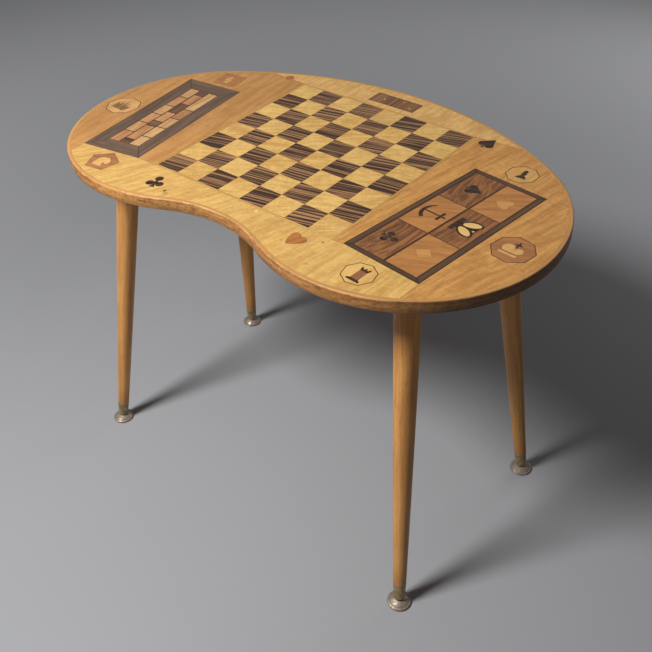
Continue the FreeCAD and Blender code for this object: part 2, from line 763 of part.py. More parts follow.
# The chess medallions, which lie in the fields. An octagon has its middle, its radius to a corner
# and its turn, and every figure its middle, its size and its turn. Turns are shares of a full turn.
OCTAGON_SHARES = {
    "queen": (-4.82, 2.45, 0.71, 0.0417), "king": (12.72, 2.65, 0.71, 0.0333),
    "pawn": (10.75, 6.65, 0.58, 0.0556), "rook": (9.78, -0.98, 0.566, 0.0972),
}
CHESS_FIGURE_SHARES = {
    "queen": (-4.83, 2.45, 0.71, -0.011), "king": (12.7, 2.66, 0.75, -0.011),
    "pawn": (10.78, 6.69, 0.566, 0.008), "rook": (9.81, -1.01, 0.697, -0.011),
    "knight": (-1.84, -1.0, 0.658, 0.011), "bishop": (-2.98, 6.6, 0.632, 0.022),
}
KNIGHT_CORNER_SHARES = [
    (-1.95, -0.36), (-1.25, -0.73), (-1.38, -1.47), (-2.15, -1.58), (-2.5, -0.88),
]
BISHOP_CORNER_SHARES = [(-3.55, 7.04), (-2.5, 7.16), (-2.32, 6.18), (-3.4, 6.06)]


def medallion(piece, narrower=0):
    """A chess piece's octagon, narrower than its outer edge by the width of a string."""
    x_share, y_share, radius_share, turn_share = OCTAGON_SHARES[piece]
    # a corner lies further out than a side, across which the string's width is measured
    radius = radius_share * figure_unit - narrower / math.cos(math.pi / 8)
    return octagon(radius, on_face(x_share, y_share), turn_share)


def placed(x_share, y_share, size_share, turn_share):
    """A figure's size, its middle and its rotation."""
    return size_share * figure_unit, on_face(x_share, y_share), turned_by(turn_share)


def chess_figure(piece, path_shares):
    return drawn(path_shares, *placed(*CHESS_FIGURE_SHARES[piece]))


octagons = {piece: medallion(piece) for piece in OCTAGON_SHARES}
grounds = {piece: medallion(piece, float(cell("outline_string"))) for piece in OCTAGON_SHARES}
octagon_strings = [octagons[piece].cut(grounds[piece]) for piece in OCTAGON_SHARES]
knight_ground = polygon(places(KNIGHT_CORNER_SHARES))
bishop_ground = polygon(places(BISHOP_CORNER_SHARES))

queen = chess_figure("queen", QUEEN_SHARES)
pawn = chess_figure("pawn", PAWN_SHARES)
rook_top = chess_figure("rook", ROOK_TOP_SHARES)
rook_body = chess_figure("rook", ROOK_BODY_SHARES)
rook_base = chess_figure("rook", ROOK_BASE_SHARES)
knight = chess_figure("knight", KNIGHT_SHARES)
bishop = chess_figure("bishop", BISHOP_SHARES)
king_crown = lobed(KING_LOBE_SHARES, KING_CROWN_SHARES, *placed(*CHESS_FIGURE_SHARES["king"]))
king_bar = chess_figure("king", KING_BAR_SHARES)
king_cross = chess_figure("king", KING_CROSS_SHARES).cut(king_crown)

# The suits round the board: each figure's middle, size and turn
SUIT_SHARES = {
    "club": (0.88, -0.86, 0.71, 0.047), "spade": (8.69, 7.91, 0.739, -0.042),
    "heart": (7.09, -0.74, 0.675, -0.047), "diamond": (-1.0, 8.18, 0.487, 0.014),
}
club = club_of(*placed(*SUIT_SHARES["club"]))
spade = drawn(SPADE_SHARES, *placed(*SUIT_SHARES["spade"]))
heart = drawn(HEART_SHARES, *placed(*SUIT_SHARES["heart"]))
diamond = drawn(DIAMOND_SHARES, *placed(*SUIT_SHARES["diamond"]))

# The domino, with a border and a divider of string
DOMINO_CORNER_SHARES = [(2.95, 9.13), (5.06, 9.1), (5.06, 8.36), (2.95, 8.38)]
DOMINO_PIP_SHARES = [(3.48, 8.75), (4.28, 8.93), (4.76, 8.6)]
PIP_RADIUS_SHARE = 0.05
domino = places(DOMINO_CORNER_SHARES)
domino_u_gap = float(cell("domino_line")) / panel_span(domino, 1, 0)
domino_v_gap = float(cell("domino_line")) / panel_span(domino, 0, 1)
domino_halves = [
    polygon(patch(domino, left, right, domino_v_gap, 1 - domino_v_gap))
    for left, right in (
        (domino_u_gap, (1 - domino_u_gap) / 2),
        ((1 + domino_u_gap) / 2, 1 - domino_u_gap),
    )
]
domino_string = polygon(domino).cut(domino_halves)
pips = [disc(PIP_RADIUS_SHARE * figure_unit, middle) for middle in places(DOMINO_PIP_SHARES)]

inlay("pale_medallions", [
    grounds["queen"].cut(queen),
    grounds["pawn"].cut(pawn),
    grounds["rook"].cut([rook_top, rook_body, rook_base]),
])
inlay("brown_medallions", [
    knight_ground.cut(knight),
    bishop_ground.cut(bishop),
    grounds["king"].cut([king_crown, king_bar, king_cross]),
])
inlay("dark_strings", octagon_strings + [domino_string])
inlay("dark_chess_figures", [queen, pawn, rook_top, rook_base, king_cross])
inlay("pale_figures", [knight, bishop, king_crown, king_bar] + pips)
inlay("dark_suits", [club, spade])
inlay("red_figures", [heart, diamond, rook_body])
inlay("domino_halves", [half.cut(pips) for half in domino_halves])

# The fields round all of it. A seam runs from each outer corner of the two panels to the edge band,
# and its far end lies past the band, where the kidney outline trims it.
LEFT_BACK_SEAM_SHARES = (-4.9, 7.3)
LEFT_FRONT_SEAM_SHARES = (-3.45, -3)
RIGHT_BACK_SEAM_SHARES = (12.4, 8)
RIGHT_FRONT_SEAM_SHARES = (11.3, -3)
BACK_SEAM_LEFT_SHARES = (-5, 8.37)
BACK_SEAM_RIGHT_SHARES = (13, 8.4)
FAR_LEFT_SHARE = -8
FAR_RIGHT_SHARE = 16
FAR_BACK_SHARE = 12

left_back_seam = on_face(*LEFT_BACK_SEAM_SHARES)
left_front_seam = on_face(*LEFT_FRONT_SEAM_SHARES)
right_back_seam = on_face(*RIGHT_BACK_SEAM_SHARES)
right_front_seam = on_face(*RIGHT_FRONT_SEAM_SHARES)
back_seam_left = on_face(*BACK_SEAM_LEFT_SHARES)
back_seam_right = on_face(*BACK_SEAM_RIGHT_SHARES)
brick_back_left, brick_back_right, brick_front_right, brick_front_left = brick_outer
anchor_back_left, anchor_back_right, anchor_front_right, anchor_front_left = anchor_outer
string_back_left, string_back_right, string_front_right, string_front_left = string_edge
FIELDS = {
    "front_field": [
        brick_front_left, left_front_seam, right_front_seam, anchor_front_right,
        anchor_front_left, string_front_right, string_front_left, brick_front_right,
    ],
    "back_field": [
        string_back_left, string_back_right, back_seam_right,
        on_face(BACK_SEAM_RIGHT_SHARES[0], FAR_BACK_SHARE),
        on_face(BACK_SEAM_LEFT_SHARES[0], FAR_BACK_SHARE), back_seam_left,
    ],
    "left_field": [
        string_front_left, string_back_left, back_seam_left, left_back_seam,
        brick_back_left, brick_back_right, brick_front_right,
    ],
    "left_end_field": [
        brick_back_left, left_back_seam, on_face(FAR_LEFT_SHARE, LEFT_BACK_SEAM_SHARES[1]),
        on_face(FAR_LEFT_SHARE, LEFT_FRONT_SEAM_SHARES[1]), left_front_seam, brick_front_left,
    ],
    "right_field": [
        string_front_right, anchor_front_left, anchor_back_left, anchor_back_right,
        right_back_seam, back_seam_right, string_back_right,
    ],
    "right_end_field": [
        anchor_back_right, anchor_front_right, right_front_seam,
        on_face(FAR_RIGHT_SHARE, RIGHT_FRONT_SEAM_SHARES[1]),
        on_face(FAR_RIGHT_SHARE, RIGHT_BACK_SEAM_SHARES[1]), right_back_seam,
    ],
}
in_fields = list(octagons.values()) + [
    knight_ground, bishop_ground, club, spade, heart, diamond, polygon(domino)
]
inside_band = kidney_face(float(band_width), core_top)
for name, corners in FIELDS.items():
    inlay(name, [inside_band.common(polygon(corners)).cut(in_fields)])


# Turned and pressed pieces
# Each is a body made by turning a sketched profile about its own +Z axis.


# how a sketch numbers the ends of a line, and its own origin
FIRST_POINT_INDEX = 1
LAST_POINT_INDEX = 2
ORIGIN_INDEX = (-1, 1)


def profile_sketch(body, corners):
    """A closed profile on the body's XZ plane. A corner is a radius and a height from the sheet."""
    sketch = body.newObject("Sketcher::SketchObject", f"{body.Name}_profile")
    plane = [item for item in body.Origin.OriginFeatures if item.Role == "XZ_Plane"][0]
    sketch.AttachmentSupport = [(plane, "")]
    sketch.MapMode = "FlatFace"
    points = [FreeCAD.Vector(float(r), float(z), 0) for r, z in corners]
    for here, point in enumerate(points):
        after = points[(here + 1) % len(points)]
        sketch.addGeometry(Part.LineSegment(point, after))
    for here, (radius, height) in enumerate(corners):
        before = (here - 1) % len(points)
        joined = Sketcher.Constraint("Coincident", before, LAST_POINT_INDEX, here, FIRST_POINT_INDEX)
        sketch.addConstraint(joined)
        for kind, size, axis in (("DistanceX", radius, -2), ("DistanceY", height, -1)):
            if float(size) == 0:
                on_axis = Sketcher.Constraint("PointOnObject", here, FIRST_POINT_INDEX, axis)
                sketch.addConstraint(on_axis)
                continue
            rule = Sketcher.Constraint(kind, *ORIGIN_INDEX, here, FIRST_POINT_INDEX, float(size))
            number = sketch.addConstraint(rule)
            sketch.setExpression(f"Constraints[{number}]", size.text)
    return sketch


def turned(name, corners, placement):
    """A body of revolution about its own +Z axis, placed in the table."""
    body = doc.addObject("PartDesign::Body", name)
    sketch = profile_sketch(body, corners)
    turn = body.newObject("PartDesign::Revolution", f"{name}_turn")
    turn.Profile = sketch
    turn.ReferenceAxis = (sketch, ["V_Axis"])
    turn.Angle = 360
    body.Placement = placement
    return node(body, name)


ferrule_gap = cell("ferrule_gap")
ferrule_wall = cell("ferrule_wall")
ferrule_length = cell("ferrule_length")
ferrule_top_radius = cell("ferrule_top_radius")
ferrule_foot_radius = cell("ferrule_foot_radius")
stud_radius = cell("stud_radius")
bolt_radius = cell("bolt_radius")
leg_top_radius = cell("leg_top_radius")
leg_round = cell("leg_round")
leg_foot = ferrule_gap + ferrule_wall
ferrule_top = ferrule_gap + ferrule_length


def leg_corners(leg):
    """The leg's profile: a long taper, a shouldered end for the ferrule and a bore at each end."""
    seat = axis_length(leg) - seat_drop
    bolt_bore = bolt_radius + running_gap
    shoulder = leg_round * (1 - math.sqrt(1 / 2))
    return [
        (bolt_bore, seat),
        (leg_top_radius - leg_round, seat),
        (leg_top_radius - shoulder, seat - shoulder),
        (leg_top_radius, seat - leg_round),
        (ferrule_top_radius, ferrule_top),
        (ferrule_top_radius - ferrule_wall, ferrule_top),
        (ferrule_foot_radius - ferrule_wall, leg_foot),
        (stud_radius, leg_foot),
        (stud_radius, leg_foot + cell("stud_depth")),
        (zero, leg_foot + cell("stud_depth")),
        (zero, seat - cell("bolt_hold") - running_gap),
        (bolt_bore, seat - cell("bolt_hold") - running_gap),
    ]


def ferrule_corners():
    """A tapered sleeve, closed at its foot but for the stud's hole."""
    return [
        (stud_radius + running_gap, ferrule_gap),
        (ferrule_foot_radius, ferrule_gap),
        (ferrule_top_radius, ferrule_top),
        (ferrule_top_radius - ferrule_wall, ferrule_top),
        (ferrule_foot_radius - ferrule_wall, leg_foot),
        (stud_radius + running_gap, leg_foot),
    ]


def bolt_corners(leg):
    """The hanger bolt, pointed a little at both ends."""
    seat = axis_length(leg) - seat_drop
    chamfer = cell("bolt_chamfer")
    low = seat - cell("bolt_hold")
    high = seat + cell("bolt_reach")
    return [
        (zero, low),
        (bolt_radius - chamfer, low),
        (bolt_radius, low + chamfer),
        (bolt_radius, high - chamfer),
        (bolt_radius - chamfer, high),
        (zero, high),
    ]


def glide_corners():
    """The foot: a beaded rim, a dome, a collar, and the cup that holds the socket."""
    bead = cell("glide_bead")
    step = cell("glide_bead_step")
    half_step = step / 2
    collar = cell("glide_height")
    lip = cell("glide_lip")
    cup = cell("socket_radius") + running_gap
    shoulder = glide_radius - step * 2
    return [
        (zero, zero),
        (glide_radius - step, zero),
        (glide_radius - half_step / 2, bead / 6),
        (glide_radius, bead / 2),
        (glide_radius - half_step / 2, bead * 5 / 6),
        (glide_radius - step, bead),
        (shoulder, bead * 1.1),
        (cell("glide_dome_radius"), cell("glide_dome_height")),
        (cell("glide_collar"), collar),
        (cell("glide_mouth"), collar),
        (cell("glide_mouth"), collar - lip),
        (cup, collar - lip),
        (cup, cell("glide_base")),
        (zero, cell("glide_base")),
    ]


def glide_socket(leg):
    """The liner between ball and foot: a short cylinder hollowed by the ball's own shape."""
    blank = doc.addObject("Part::Cylinder", f"socket_blank_{leg}")
    low = cell("glide_base") + running_gap
    high = ball_height + cell("socket_cover")
    bind(blank, Radius=cell("socket_radius"), Height=high - low)
    bind_base(blank, zero, zero, low - ball_height)
    hollow = doc.addObject("Part::Sphere", f"socket_hollow_{leg}")
    bind(hollow, Radius=cell("ball_radius") + running_gap)
    socket = doc.addObject("Part::Cut", f"glide_socket_{leg}")
    socket.Base = blank
    socket.Tool = hollow
    socket.Placement = FreeCAD.Placement(leg_frame(leg).Base, FreeCAD.Rotation())
    return node(socket, f"glide_socket_{leg}")


def glide_stud(leg):
    """A ball on a pin, which is pressed into the end of the leg."""
    ball = doc.addObject("Part::Sphere", f"stud_ball_{leg}")
    bind(ball, Radius=cell("ball_radius"))
    pin = doc.addObject("Part::Cylinder", f"stud_pin_{leg}")
    bind(pin, Radius=stud_radius, Height=leg_foot + cell("stud_depth"))
    stud = doc.addObject("Part::Fuse", f"glide_stud_{leg}")
    stud.Base = ball
    stud.Tool = pin
    stud.Placement = leg_frame(leg)
    return node(stud, f"glide_stud_{leg}")


for leg in LEGS:
    frame = leg_frame(leg)
    upright = FreeCAD.Placement(
        FreeCAD.Vector(frame.Base.x, frame.Base.y, 0), FreeCAD.Rotation()
    )
    turned(f"leg_{leg}", leg_corners(leg), frame)
    turned(f"ferrule_{leg}", ferrule_corners(), frame)
    turned(f"hanger_bolt_{leg}", bolt_corners(leg), frame)
    glide_stud(leg)
    glide_socket(leg)
    turned(f"glide_disc_{leg}", glide_corners(), upright)


# The leg plates and their screws
# A plate is a square sheet with a boss cut square to the leg, bored through for the hanger bolt.

plate_side = cell("plate_side")
plate_thickness = cell("plate_thickness")


def boxed(name, length, width, height, x, y, z):
    box = doc.addObject("Part::Box", name)
    bind(box, Length=length, Width=width, Height=height)
    bind_base(box, x, y, z)
    return box


def tilted_rod(name, radius, height, start, lean):
    """A cylinder on the leg's axis in the plate's frame, start below the underside."""
    rod = doc.addObject("Part::Cylinder", name)
    bind(rod, Radius=radius, Height=height)
    rod.Placement.Rotation = FreeCAD.Rotation(FreeCAD.Vector(0, 1, 0), -lean)
    bind_base(rod, start * math.sin(math.radians(lean)), zero, -start * math.cos(math.radians(lean)))
    return rod


def upright_rod(name, kind, x, y, z, **sizes):
    rod = doc.addObject(kind, name)
    bind(rod, **sizes)
    bind_base(rod, x, y, z)
    return rod


def leg_plate(leg):
    """One plate, in its own frame, then placed under the top."""
    lean = splay(leg)
    half = plate_side / 2
    sheet_box = boxed(
        f"plate_sheet_{leg}", plate_side, plate_side, plate_thickness, -half, -half, -plate_thickness
    )
    doc.recompute()
    rounded = doc.addObject("Part::Fillet", f"plate_rounded_{leg}")
    rounded.Base = sheet_box
    corner = float(cell("plate_corner"))
    upright_edges = [
        (number, corner, corner)
        for number, edge in enumerate(sheet_box.Shape.Edges, start=1)
        if abs(edge.BoundBox.ZLength - float(plate_thickness)) < float(running_gap)
    ]
    rounded.Edges = upright_edges
    boss_rod = tilted_rod(
        f"boss_rod_{leg}", cell("boss_radius"), seat_drop + overrun * 2, seat_drop, lean
    )
    room = boxed(
        f"boss_room_{leg}", plate_side, plate_side, seat_drop * 2, -half, -half, -(seat_drop * 2)
    )
    boss = doc.addObject("Part::Common", f"boss_{leg}")
    boss.Base = boss_rod
    boss.Tool = room
    blank = doc.addObject("Part::Fuse", f"plate_blank_{leg}")
    blank.Base = rounded
    blank.Tool = boss
    bore_start = seat_drop + overrun
    cutters = [
        tilted_rod(
            f"plate_bore_{leg}", bolt_radius + running_gap, bore_start + overrun, bore_start, lean
        )
    ]
    hole_radius = cell("screw_radius") + running_gap
    for number, (x, y) in enumerate(screw_places()):
        cutters.append(upright_rod(
            f"screw_hole_{leg}_{number}", "Part::Cylinder", x, y, -plate_thickness - overrun,
            Radius=hole_radius, Height=plate_thickness + overrun * 2,
        ))
        cutters.append(upright_rod(
            f"countersink_{leg}_{number}", "Part::Cone", x, y, -plate_thickness,
            Radius1=cell("screw_head_radius") + running_gap, Radius2=hole_radius,
            Height=cell("screw_head_height"),
        ))
    tools = doc.addObject("Part::MultiFuse", f"plate_cutters_{leg}")
    tools.Shapes = cutters
    plate = doc.addObject("Part::Cut", f"leg_plate_{leg}")
    plate.Base = blank
    plate.Tool = tools
    plate.Placement = plate_frame(leg)
    return node(plate, f"leg_plate_{leg}")


def plate_screws():
    """Four countersunk screws for each plate."""
    radius = float(cell("screw_radius"))
    length = float(cell("screw_length"))
    profile = [
        (0, 0),
        (float(cell("screw_head_radius")), 0),
        (radius, float(cell("screw_head_height"))),
        (radius, length - float(cell("screw_point"))),
        (0, length),
    ]
    flat = polygon([FreeCAD.Vector(r, 0, z) for r, z in profile])
    screw = flat.revolve(FreeCAD.Vector(0, 0, 0), up, 360)
    screws = []
    for leg in LEGS:
        for x, y in screw_places():
            step = FreeCAD.Vector(float(x), float(y), -float(plate_thickness))
            copy = screw.copy()
            copy.Placement = plate_frame(leg) * FreeCAD.Placement(step, FreeCAD.Rotation())
            screws.append(copy)
    return screws


for leg in LEGS:
    leg_plate(leg)
feature("plate_screws", plate_screws())

# Rebuild, check everything, and write one file for each sub-part

doc.recompute()
for item in doc.Objects:
    if "Invalid" in item.State or "Error" in item.State:
        raise RuntimeError(f"{item.Name} failed: {item.State}")
for item in nodes:
    shape = item.Shape
    if shape.isNull() or not shape.isValid() or not shape.Solids:
        raise RuntimeError(f"{item.Label} has no valid solid")

os.makedirs("parts", exist_ok=True)
for item in nodes:
    item.Shape.exportStep(f"parts/{item.Label}.step")
print(f"{len(nodes)} sub-parts, {sum(len(item.Shape.Solids) for item in nodes)} solids")
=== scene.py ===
"""A low kidney-shaped games table with an inlaid top on four splayed turned legs."""
import json
import math
import bmesh
import bpy
from mathutils import Matrix, Vector


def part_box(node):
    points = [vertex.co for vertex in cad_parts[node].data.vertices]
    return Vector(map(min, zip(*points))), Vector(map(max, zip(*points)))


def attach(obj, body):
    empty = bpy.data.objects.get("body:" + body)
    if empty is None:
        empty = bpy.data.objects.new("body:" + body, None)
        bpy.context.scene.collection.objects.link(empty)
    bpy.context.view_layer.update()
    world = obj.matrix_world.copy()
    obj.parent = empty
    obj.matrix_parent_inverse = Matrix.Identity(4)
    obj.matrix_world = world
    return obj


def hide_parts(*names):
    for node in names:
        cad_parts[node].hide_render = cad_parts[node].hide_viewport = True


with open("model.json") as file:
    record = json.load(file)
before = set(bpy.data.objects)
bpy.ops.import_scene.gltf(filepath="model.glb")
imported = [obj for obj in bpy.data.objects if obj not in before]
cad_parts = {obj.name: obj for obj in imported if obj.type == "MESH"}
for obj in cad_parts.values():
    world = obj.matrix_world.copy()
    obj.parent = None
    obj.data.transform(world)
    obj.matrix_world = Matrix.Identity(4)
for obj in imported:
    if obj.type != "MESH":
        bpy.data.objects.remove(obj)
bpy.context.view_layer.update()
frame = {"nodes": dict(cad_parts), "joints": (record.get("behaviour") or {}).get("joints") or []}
nodes = frame["nodes"]
joints = {joint["name"]: joint for joint in frame["joints"]}

# Sizes of the table, in metres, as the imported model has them
MM = 0.001
TOP_HEIGHT = 516 * MM
TOP_THICKNESS = 17 * MM
UNDERSIDE = TOP_HEIGHT - TOP_THICKNESS
HALF_LENGTH = 375.5 * MM
FRONT = -220.25 * MM
BACK = 227.25 * MM
WIDEST_INSET = 190 * MM
LOBE_INSET = 198 * MM
BAY_DEPTH = 39.5 * MM
SHOULDER_SHARE = 0.805
CORNER_SHARE = 0.98
BAY_SHARE = 0.4582
BAND_WIDTH = 5 * MM
BAND_ROUND = 1.8 * MM
SQUARE = 38 * MM
BOARD_CORNER = (-152.5 * MM, -140.25 * MM)
LEG_TOP_RADIUS = 17.2 * MM
LEG_TOP_ROUND = 2 * MM
LEG_BELLY = 0.45 * MM
FERRULE_TOP_RADIUS = 9.2 * MM
FERRULE_FOOT_RADIUS = 8.2 * MM
FERRULE_FOOT = 5 * MM
FERRULE_TOP = 31 * MM
FERRULE_WALL = 0.9 * MM
BOLT_RADIUS = 3.95 * MM
BOLT_REACH = 18.5 * MM
BOLT_HOLD = 30 * MM
THREAD_DEPTH = 0.7 * MM
THREAD_PITCH = 1.25 * MM
THREAD_TURNS = 17
BALL_RADIUS = 4 * MM
PIN_RADIUS = 2.5 * MM
PIN_LOW = 2.5 * MM
PIN_HIGH = 27.9 * MM
PLATE_THICKNESS = 2 * MM
SCREW_SPACING = 44 * MM
RUNNING_GAP = 0.05 * MM
LEGS = ("front_left", "front_right", "back_left", "back_right")
ORIGIN = Vector((0, 0, 0))
UP = Vector((0, 0, 1))

# Fineness of the meshes: a turned ring that has no bore stops just short of its axis
NEAR_AXIS = 0.1 * MM
SAME_PLACE = 1e-6
TURNED_STEPS = 72
SMALL_STEPS = 32
BAND_STEP = 4.5 * MM


# Shader nodes


def add(tree, kind, inputs=(), **settings):
    """Adds a shader node, sets its settings, and sets or links its inputs."""
    item = tree.nodes.new(f"ShaderNode{kind}")
    for name, value in settings.items():
        setattr(item, name, value)
    for key, value in dict(inputs).items():
        if isinstance(value, bpy.types.NodeSocket):
            tree.links.new(value, item.inputs[key])
        else:
            item.inputs[key].default_value = value
    return item


def calc(tree, operation, first, second=0.0, third=0.0, clamp=False):
    return add(
        tree, "Math", {0: first, 1: second, 2: third}, operation=operation, use_clamp=clamp
    ).outputs[0]


def vector_calc(tree, operation, first, second):
    return add(tree, "VectorMath", {0: first, 1: second}, operation=operation).outputs[0]


def ramp(tree, value, low, high, start=0.0, end=1.0, smooth=True):
    """Maps a value from low..high to start..end, and clamps it there."""
    kind = "SMOOTHSTEP" if smooth else "LINEAR"
    inputs = {"Value": value, "From Min": low, "From Max": high, "To Min": start, "To Max": end}
    return add(tree, "MapRange", inputs, interpolation_type=kind).outputs[0]


def noise(tree, place, scale, detail=2.0, roughness=0.5, distortion=0.0):
    """Noise with its own scale along each axis, per metre."""
    stretched = vector_calc(tree, "MULTIPLY", place, scale)
    inputs = {
        "Vector": stretched, "Scale": 1.0, "Detail": detail, "Roughness": roughness,
        "Distortion": distortion,
    }
    return add(tree, "TexNoise", inputs).outputs[0]


def mix_colour(tree, factor, first, second):
    # a Mix node has its two colours at inputs 6 and 7, and their mixture at output 2
    return add(tree, "Mix", {0: factor, 6: first, 7: second}, data_type="RGBA").outputs[2]


def stain(tree, shade, tint, *amounts):
    """Mixes a tint into a shade by the product of some masks and amounts."""
    factor = amounts[0]
    for amount in amounts[1:]:
        factor = calc(tree, "MULTIPLY", factor, amount)
    return mix_colour(tree, factor, shade, tint)


def colour(red, green, blue):
    """A colour as painters name it, 0 to 255, as Blender's linear values."""
    return tuple(
        (c / 255 / 12.92 if c <= 10 else ((c / 255 + 0.055) / 1.055) ** 2.4)
        for c in (red, green, blue)
    ) + (1.0,)


def new_group(name, inputs, outputs):
    """A node group with named inputs and outputs, and its two end nodes."""
    group = bpy.data.node_groups.new(name, "ShaderNodeTree")
    for label, (kind, default) in inputs.items():
        socket = group.interface.new_socket(label, in_out="INPUT", socket_type=f"NodeSocket{kind}")
        socket.default_value = default
    for label, kind in outputs.items():
        group.interface.new_socket(label, in_out="OUTPUT", socket_type=f"NodeSocket{kind}")
    start = group.nodes.new("NodeGroupInput")
    end = group.nodes.new("NodeGroupOutput")
    return group, start.outputs, end


def close_group(group, end, outputs):
    for label, socket in outputs.items():
        group.links.new(socket, end.inputs[label])
    return group


CLOUD_AMOUNT = 0.25
PORE_DARKNESS = 0.45


def make_grain():
    """Wood whose grain runs along X: streaks, fibres, pores and cross figure."""
    group, given, end = new_group(
        "grain",
        {
            "Place": ("Vector", (0, 0, 0)),
            "Pale": ("Color", (1, 1, 1, 1)),
            "Dark": ("Color", (0, 0, 0, 1)),
            "Along": ("Float", 3.0),
            "Streaks": ("Float", 80.0),
            "Middle": ("Float", 0.5),
            "Softness": ("Float", 0.15),
            "Contrast": ("Float", 0.5),
            "Waves": ("Float", 0.006),
            "Fibres": ("Float", 0.1),
            "Pores": ("Float", 0.3),
            "Figure": ("Float", 0.1),
            "Tone": ("Float", 0.5),
        },
        {"Color": "Color", "Height": "Float"},
    )
    place = given["Place"]
    wander = calc(group, "SUBTRACT", noise(group, place, (7, 9, 9), 2.0), 0.5)
    shift = calc(group, "MULTIPLY", wander, given["Waves"])
    sideways = add(group, "CombineXYZ", {0: 0.0, 1: shift, 2: shift}).outputs[0]
    bent = vector_calc(group, "ADD", place, sideways)
    wide = add(
        group, "CombineXYZ", {0: given["Along"], 1: given["Streaks"], 2: given["Streaks"]}
    ).outputs[0]
    lines = noise(group, bent, wide, 4.0, 0.6)
    low = calc(group, "SUBTRACT", given["Middle"], given["Softness"])
    high = calc(group, "ADD", given["Middle"], given["Softness"])
    spread = calc(group, "SUBTRACT", ramp(group, lines, low, high), 0.5)
    factor = calc(group, "MULTIPLY_ADD", spread, given["Contrast"], given["Tone"], clamp=True)
    base = mix_colour(group, factor, given["Pale"], given["Dark"])

    fibre = noise(group, bent, (40, 560, 560), 3.0, 0.65)
    pore = ramp(group, noise(group, bent, (110, 900, 900), 1.0), 0.63, 0.72)
    cross = noise(group, bent, (190, 75, 75), 4.0, 0.62, 0.9)
    cloud = noise(group, place, (14, 20, 20), 2.0)
    light = 1.0
    for pattern, amount in (
        (fibre, given["Fibres"]), (cross, given["Figure"]), (cloud, CLOUD_AMOUNT),
    ):
        light = calc(group, "MULTIPLY_ADD", calc(group, "SUBTRACT", pattern, 0.5), amount, light)
    pitted = calc(group, "MULTIPLY", pore, given["Pores"])
    light = calc(group, "MULTIPLY_ADD", pitted, -PORE_DARKNESS, light)
    toned = add(group, "VectorMath", {0: base, "Scale": light}, operation="SCALE").outputs[0]
    height = calc(group, "SUBTRACT", calc(group, "MULTIPLY", fibre, 0.35), pore)
    return close_group(group, end, {"Color": toned, "Height": height})


def make_handling():
    """Marks of use in an old lacquer: fine scratches three ways, dull patches and dark specks."""
    group, given, end = new_group(
        "handling",
        {"Place": ("Vector", (0, 0, 0))},
        {"Scratches": "Float", "Dull": "Float", "Specks": "Float"},
    )
    place = given["Place"]
    marks = []
    for turn, density in ((0.5, 0.735), (-0.9, 0.745), (2.2, 0.75)):
        turned = add(group, "VectorRotate", {"Vector": place, "Angle": turn}).outputs[0]
        thin = noise(group, turned, (9, 1300, 9), 1.0)
        marks.append(ramp(group, thin, density, density + 0.03))
    scratches = calc(group, "MAXIMUM", calc(group, "MAXIMUM", marks[0], marks[1]), marks[2])
    dull = ramp(group, noise(group, place, (11, 11, 11), 4.0, 0.62), 0.38, 0.68)
    specks = ramp(group, noise(group, place, (210, 210, 210), 1.0), 0.74, 0.79)
    return close_group(group, end, {"Scratches": scratches, "Dull": dull, "Specks": specks})


def make_spot():
    """A soft-edged spot with an uneven outline."""
    group, given, end = new_group(
        "spot",
        {"Place": ("Vector", (0, 0, 0)), "Centre": ("Vector", (0, 0, 0)),
         "Radius": ("Float", 0.003)},
        {"Mask": "Float"},
    )
    offset = vector_calc(group, "SUBTRACT", given["Place"], given["Centre"])
    distance = add(group, "VectorMath", {0: offset}, operation="LENGTH").outputs["Value"]
    rough = noise(group, given["Place"], (600, 600, 600), 2.0)
    uneven = calc(group, "MULTIPLY_ADD", rough, given["Radius"], distance)
    mask = ramp(group, calc(group, "DIVIDE", uneven, given["Radius"]), 1.1, 1.6, 1.0, 0.0)
    return close_group(group, end, {"Mask": mask})


def make_tarnish():
    """Old brass: brown film, bright rubbed places, and dark specks."""
    group, given, end = new_group(
        "tarnish",
        {"Place": ("Vector", (0, 0, 0))},
        {"Film": "Float", "Specks": "Float", "Marks": "Float"},
    )
    place = given["Place"]
    film = ramp(group, noise(group, place, (95, 95, 95), 5.0, 0.66, 0.4), 0.3, 0.64)
    specks = ramp(group, noise(group, place, (900, 900, 900), 2.0), 0.62, 0.7)
    marks = noise(group, place, (300, 300, 2600), 3.0, 0.6)
    return close_group(group, end, {"Film": film, "Specks": specks, "Marks": marks})


GRAIN = make_grain()
HANDLING = make_handling()
SPOT = make_spot()
TARNISH = make_tarnish()


# Materials


def new_material(name, viewport):
    material = bpy.data.materials.new(name)
    material.use_nodes = True
    material.diffuse_color = viewport
    tree = material.node_tree
    shader = tree.nodes["Principled BSDF"]
    return material, tree, shader


def object_place(tree):
    return add(tree, "TexCoord").outputs["Object"]


def own_value(tree, name):
    """A vector that a piece carries on its points."""
    return add(tree, "Attribute", attribute_name=name, attribute_type="GEOMETRY").outputs["Vector"]


def split(tree, vector):
    """The three parts of a vector."""
    return tuple(add(tree, "SeparateXYZ", {0: vector}).outputs)


def relief(tree, shader, height, strength, depth):
    bump = add(tree, "Bump", {"Height": height, "Strength": strength, "Distance": depth})
    tree.links.new(bump.outputs[0], shader.inputs["Normal"])


LACQUER_SHEEN = {"Specular IOR Level": 0.32, "Coat Weight": 0.05, "Coat Roughness": 0.3}


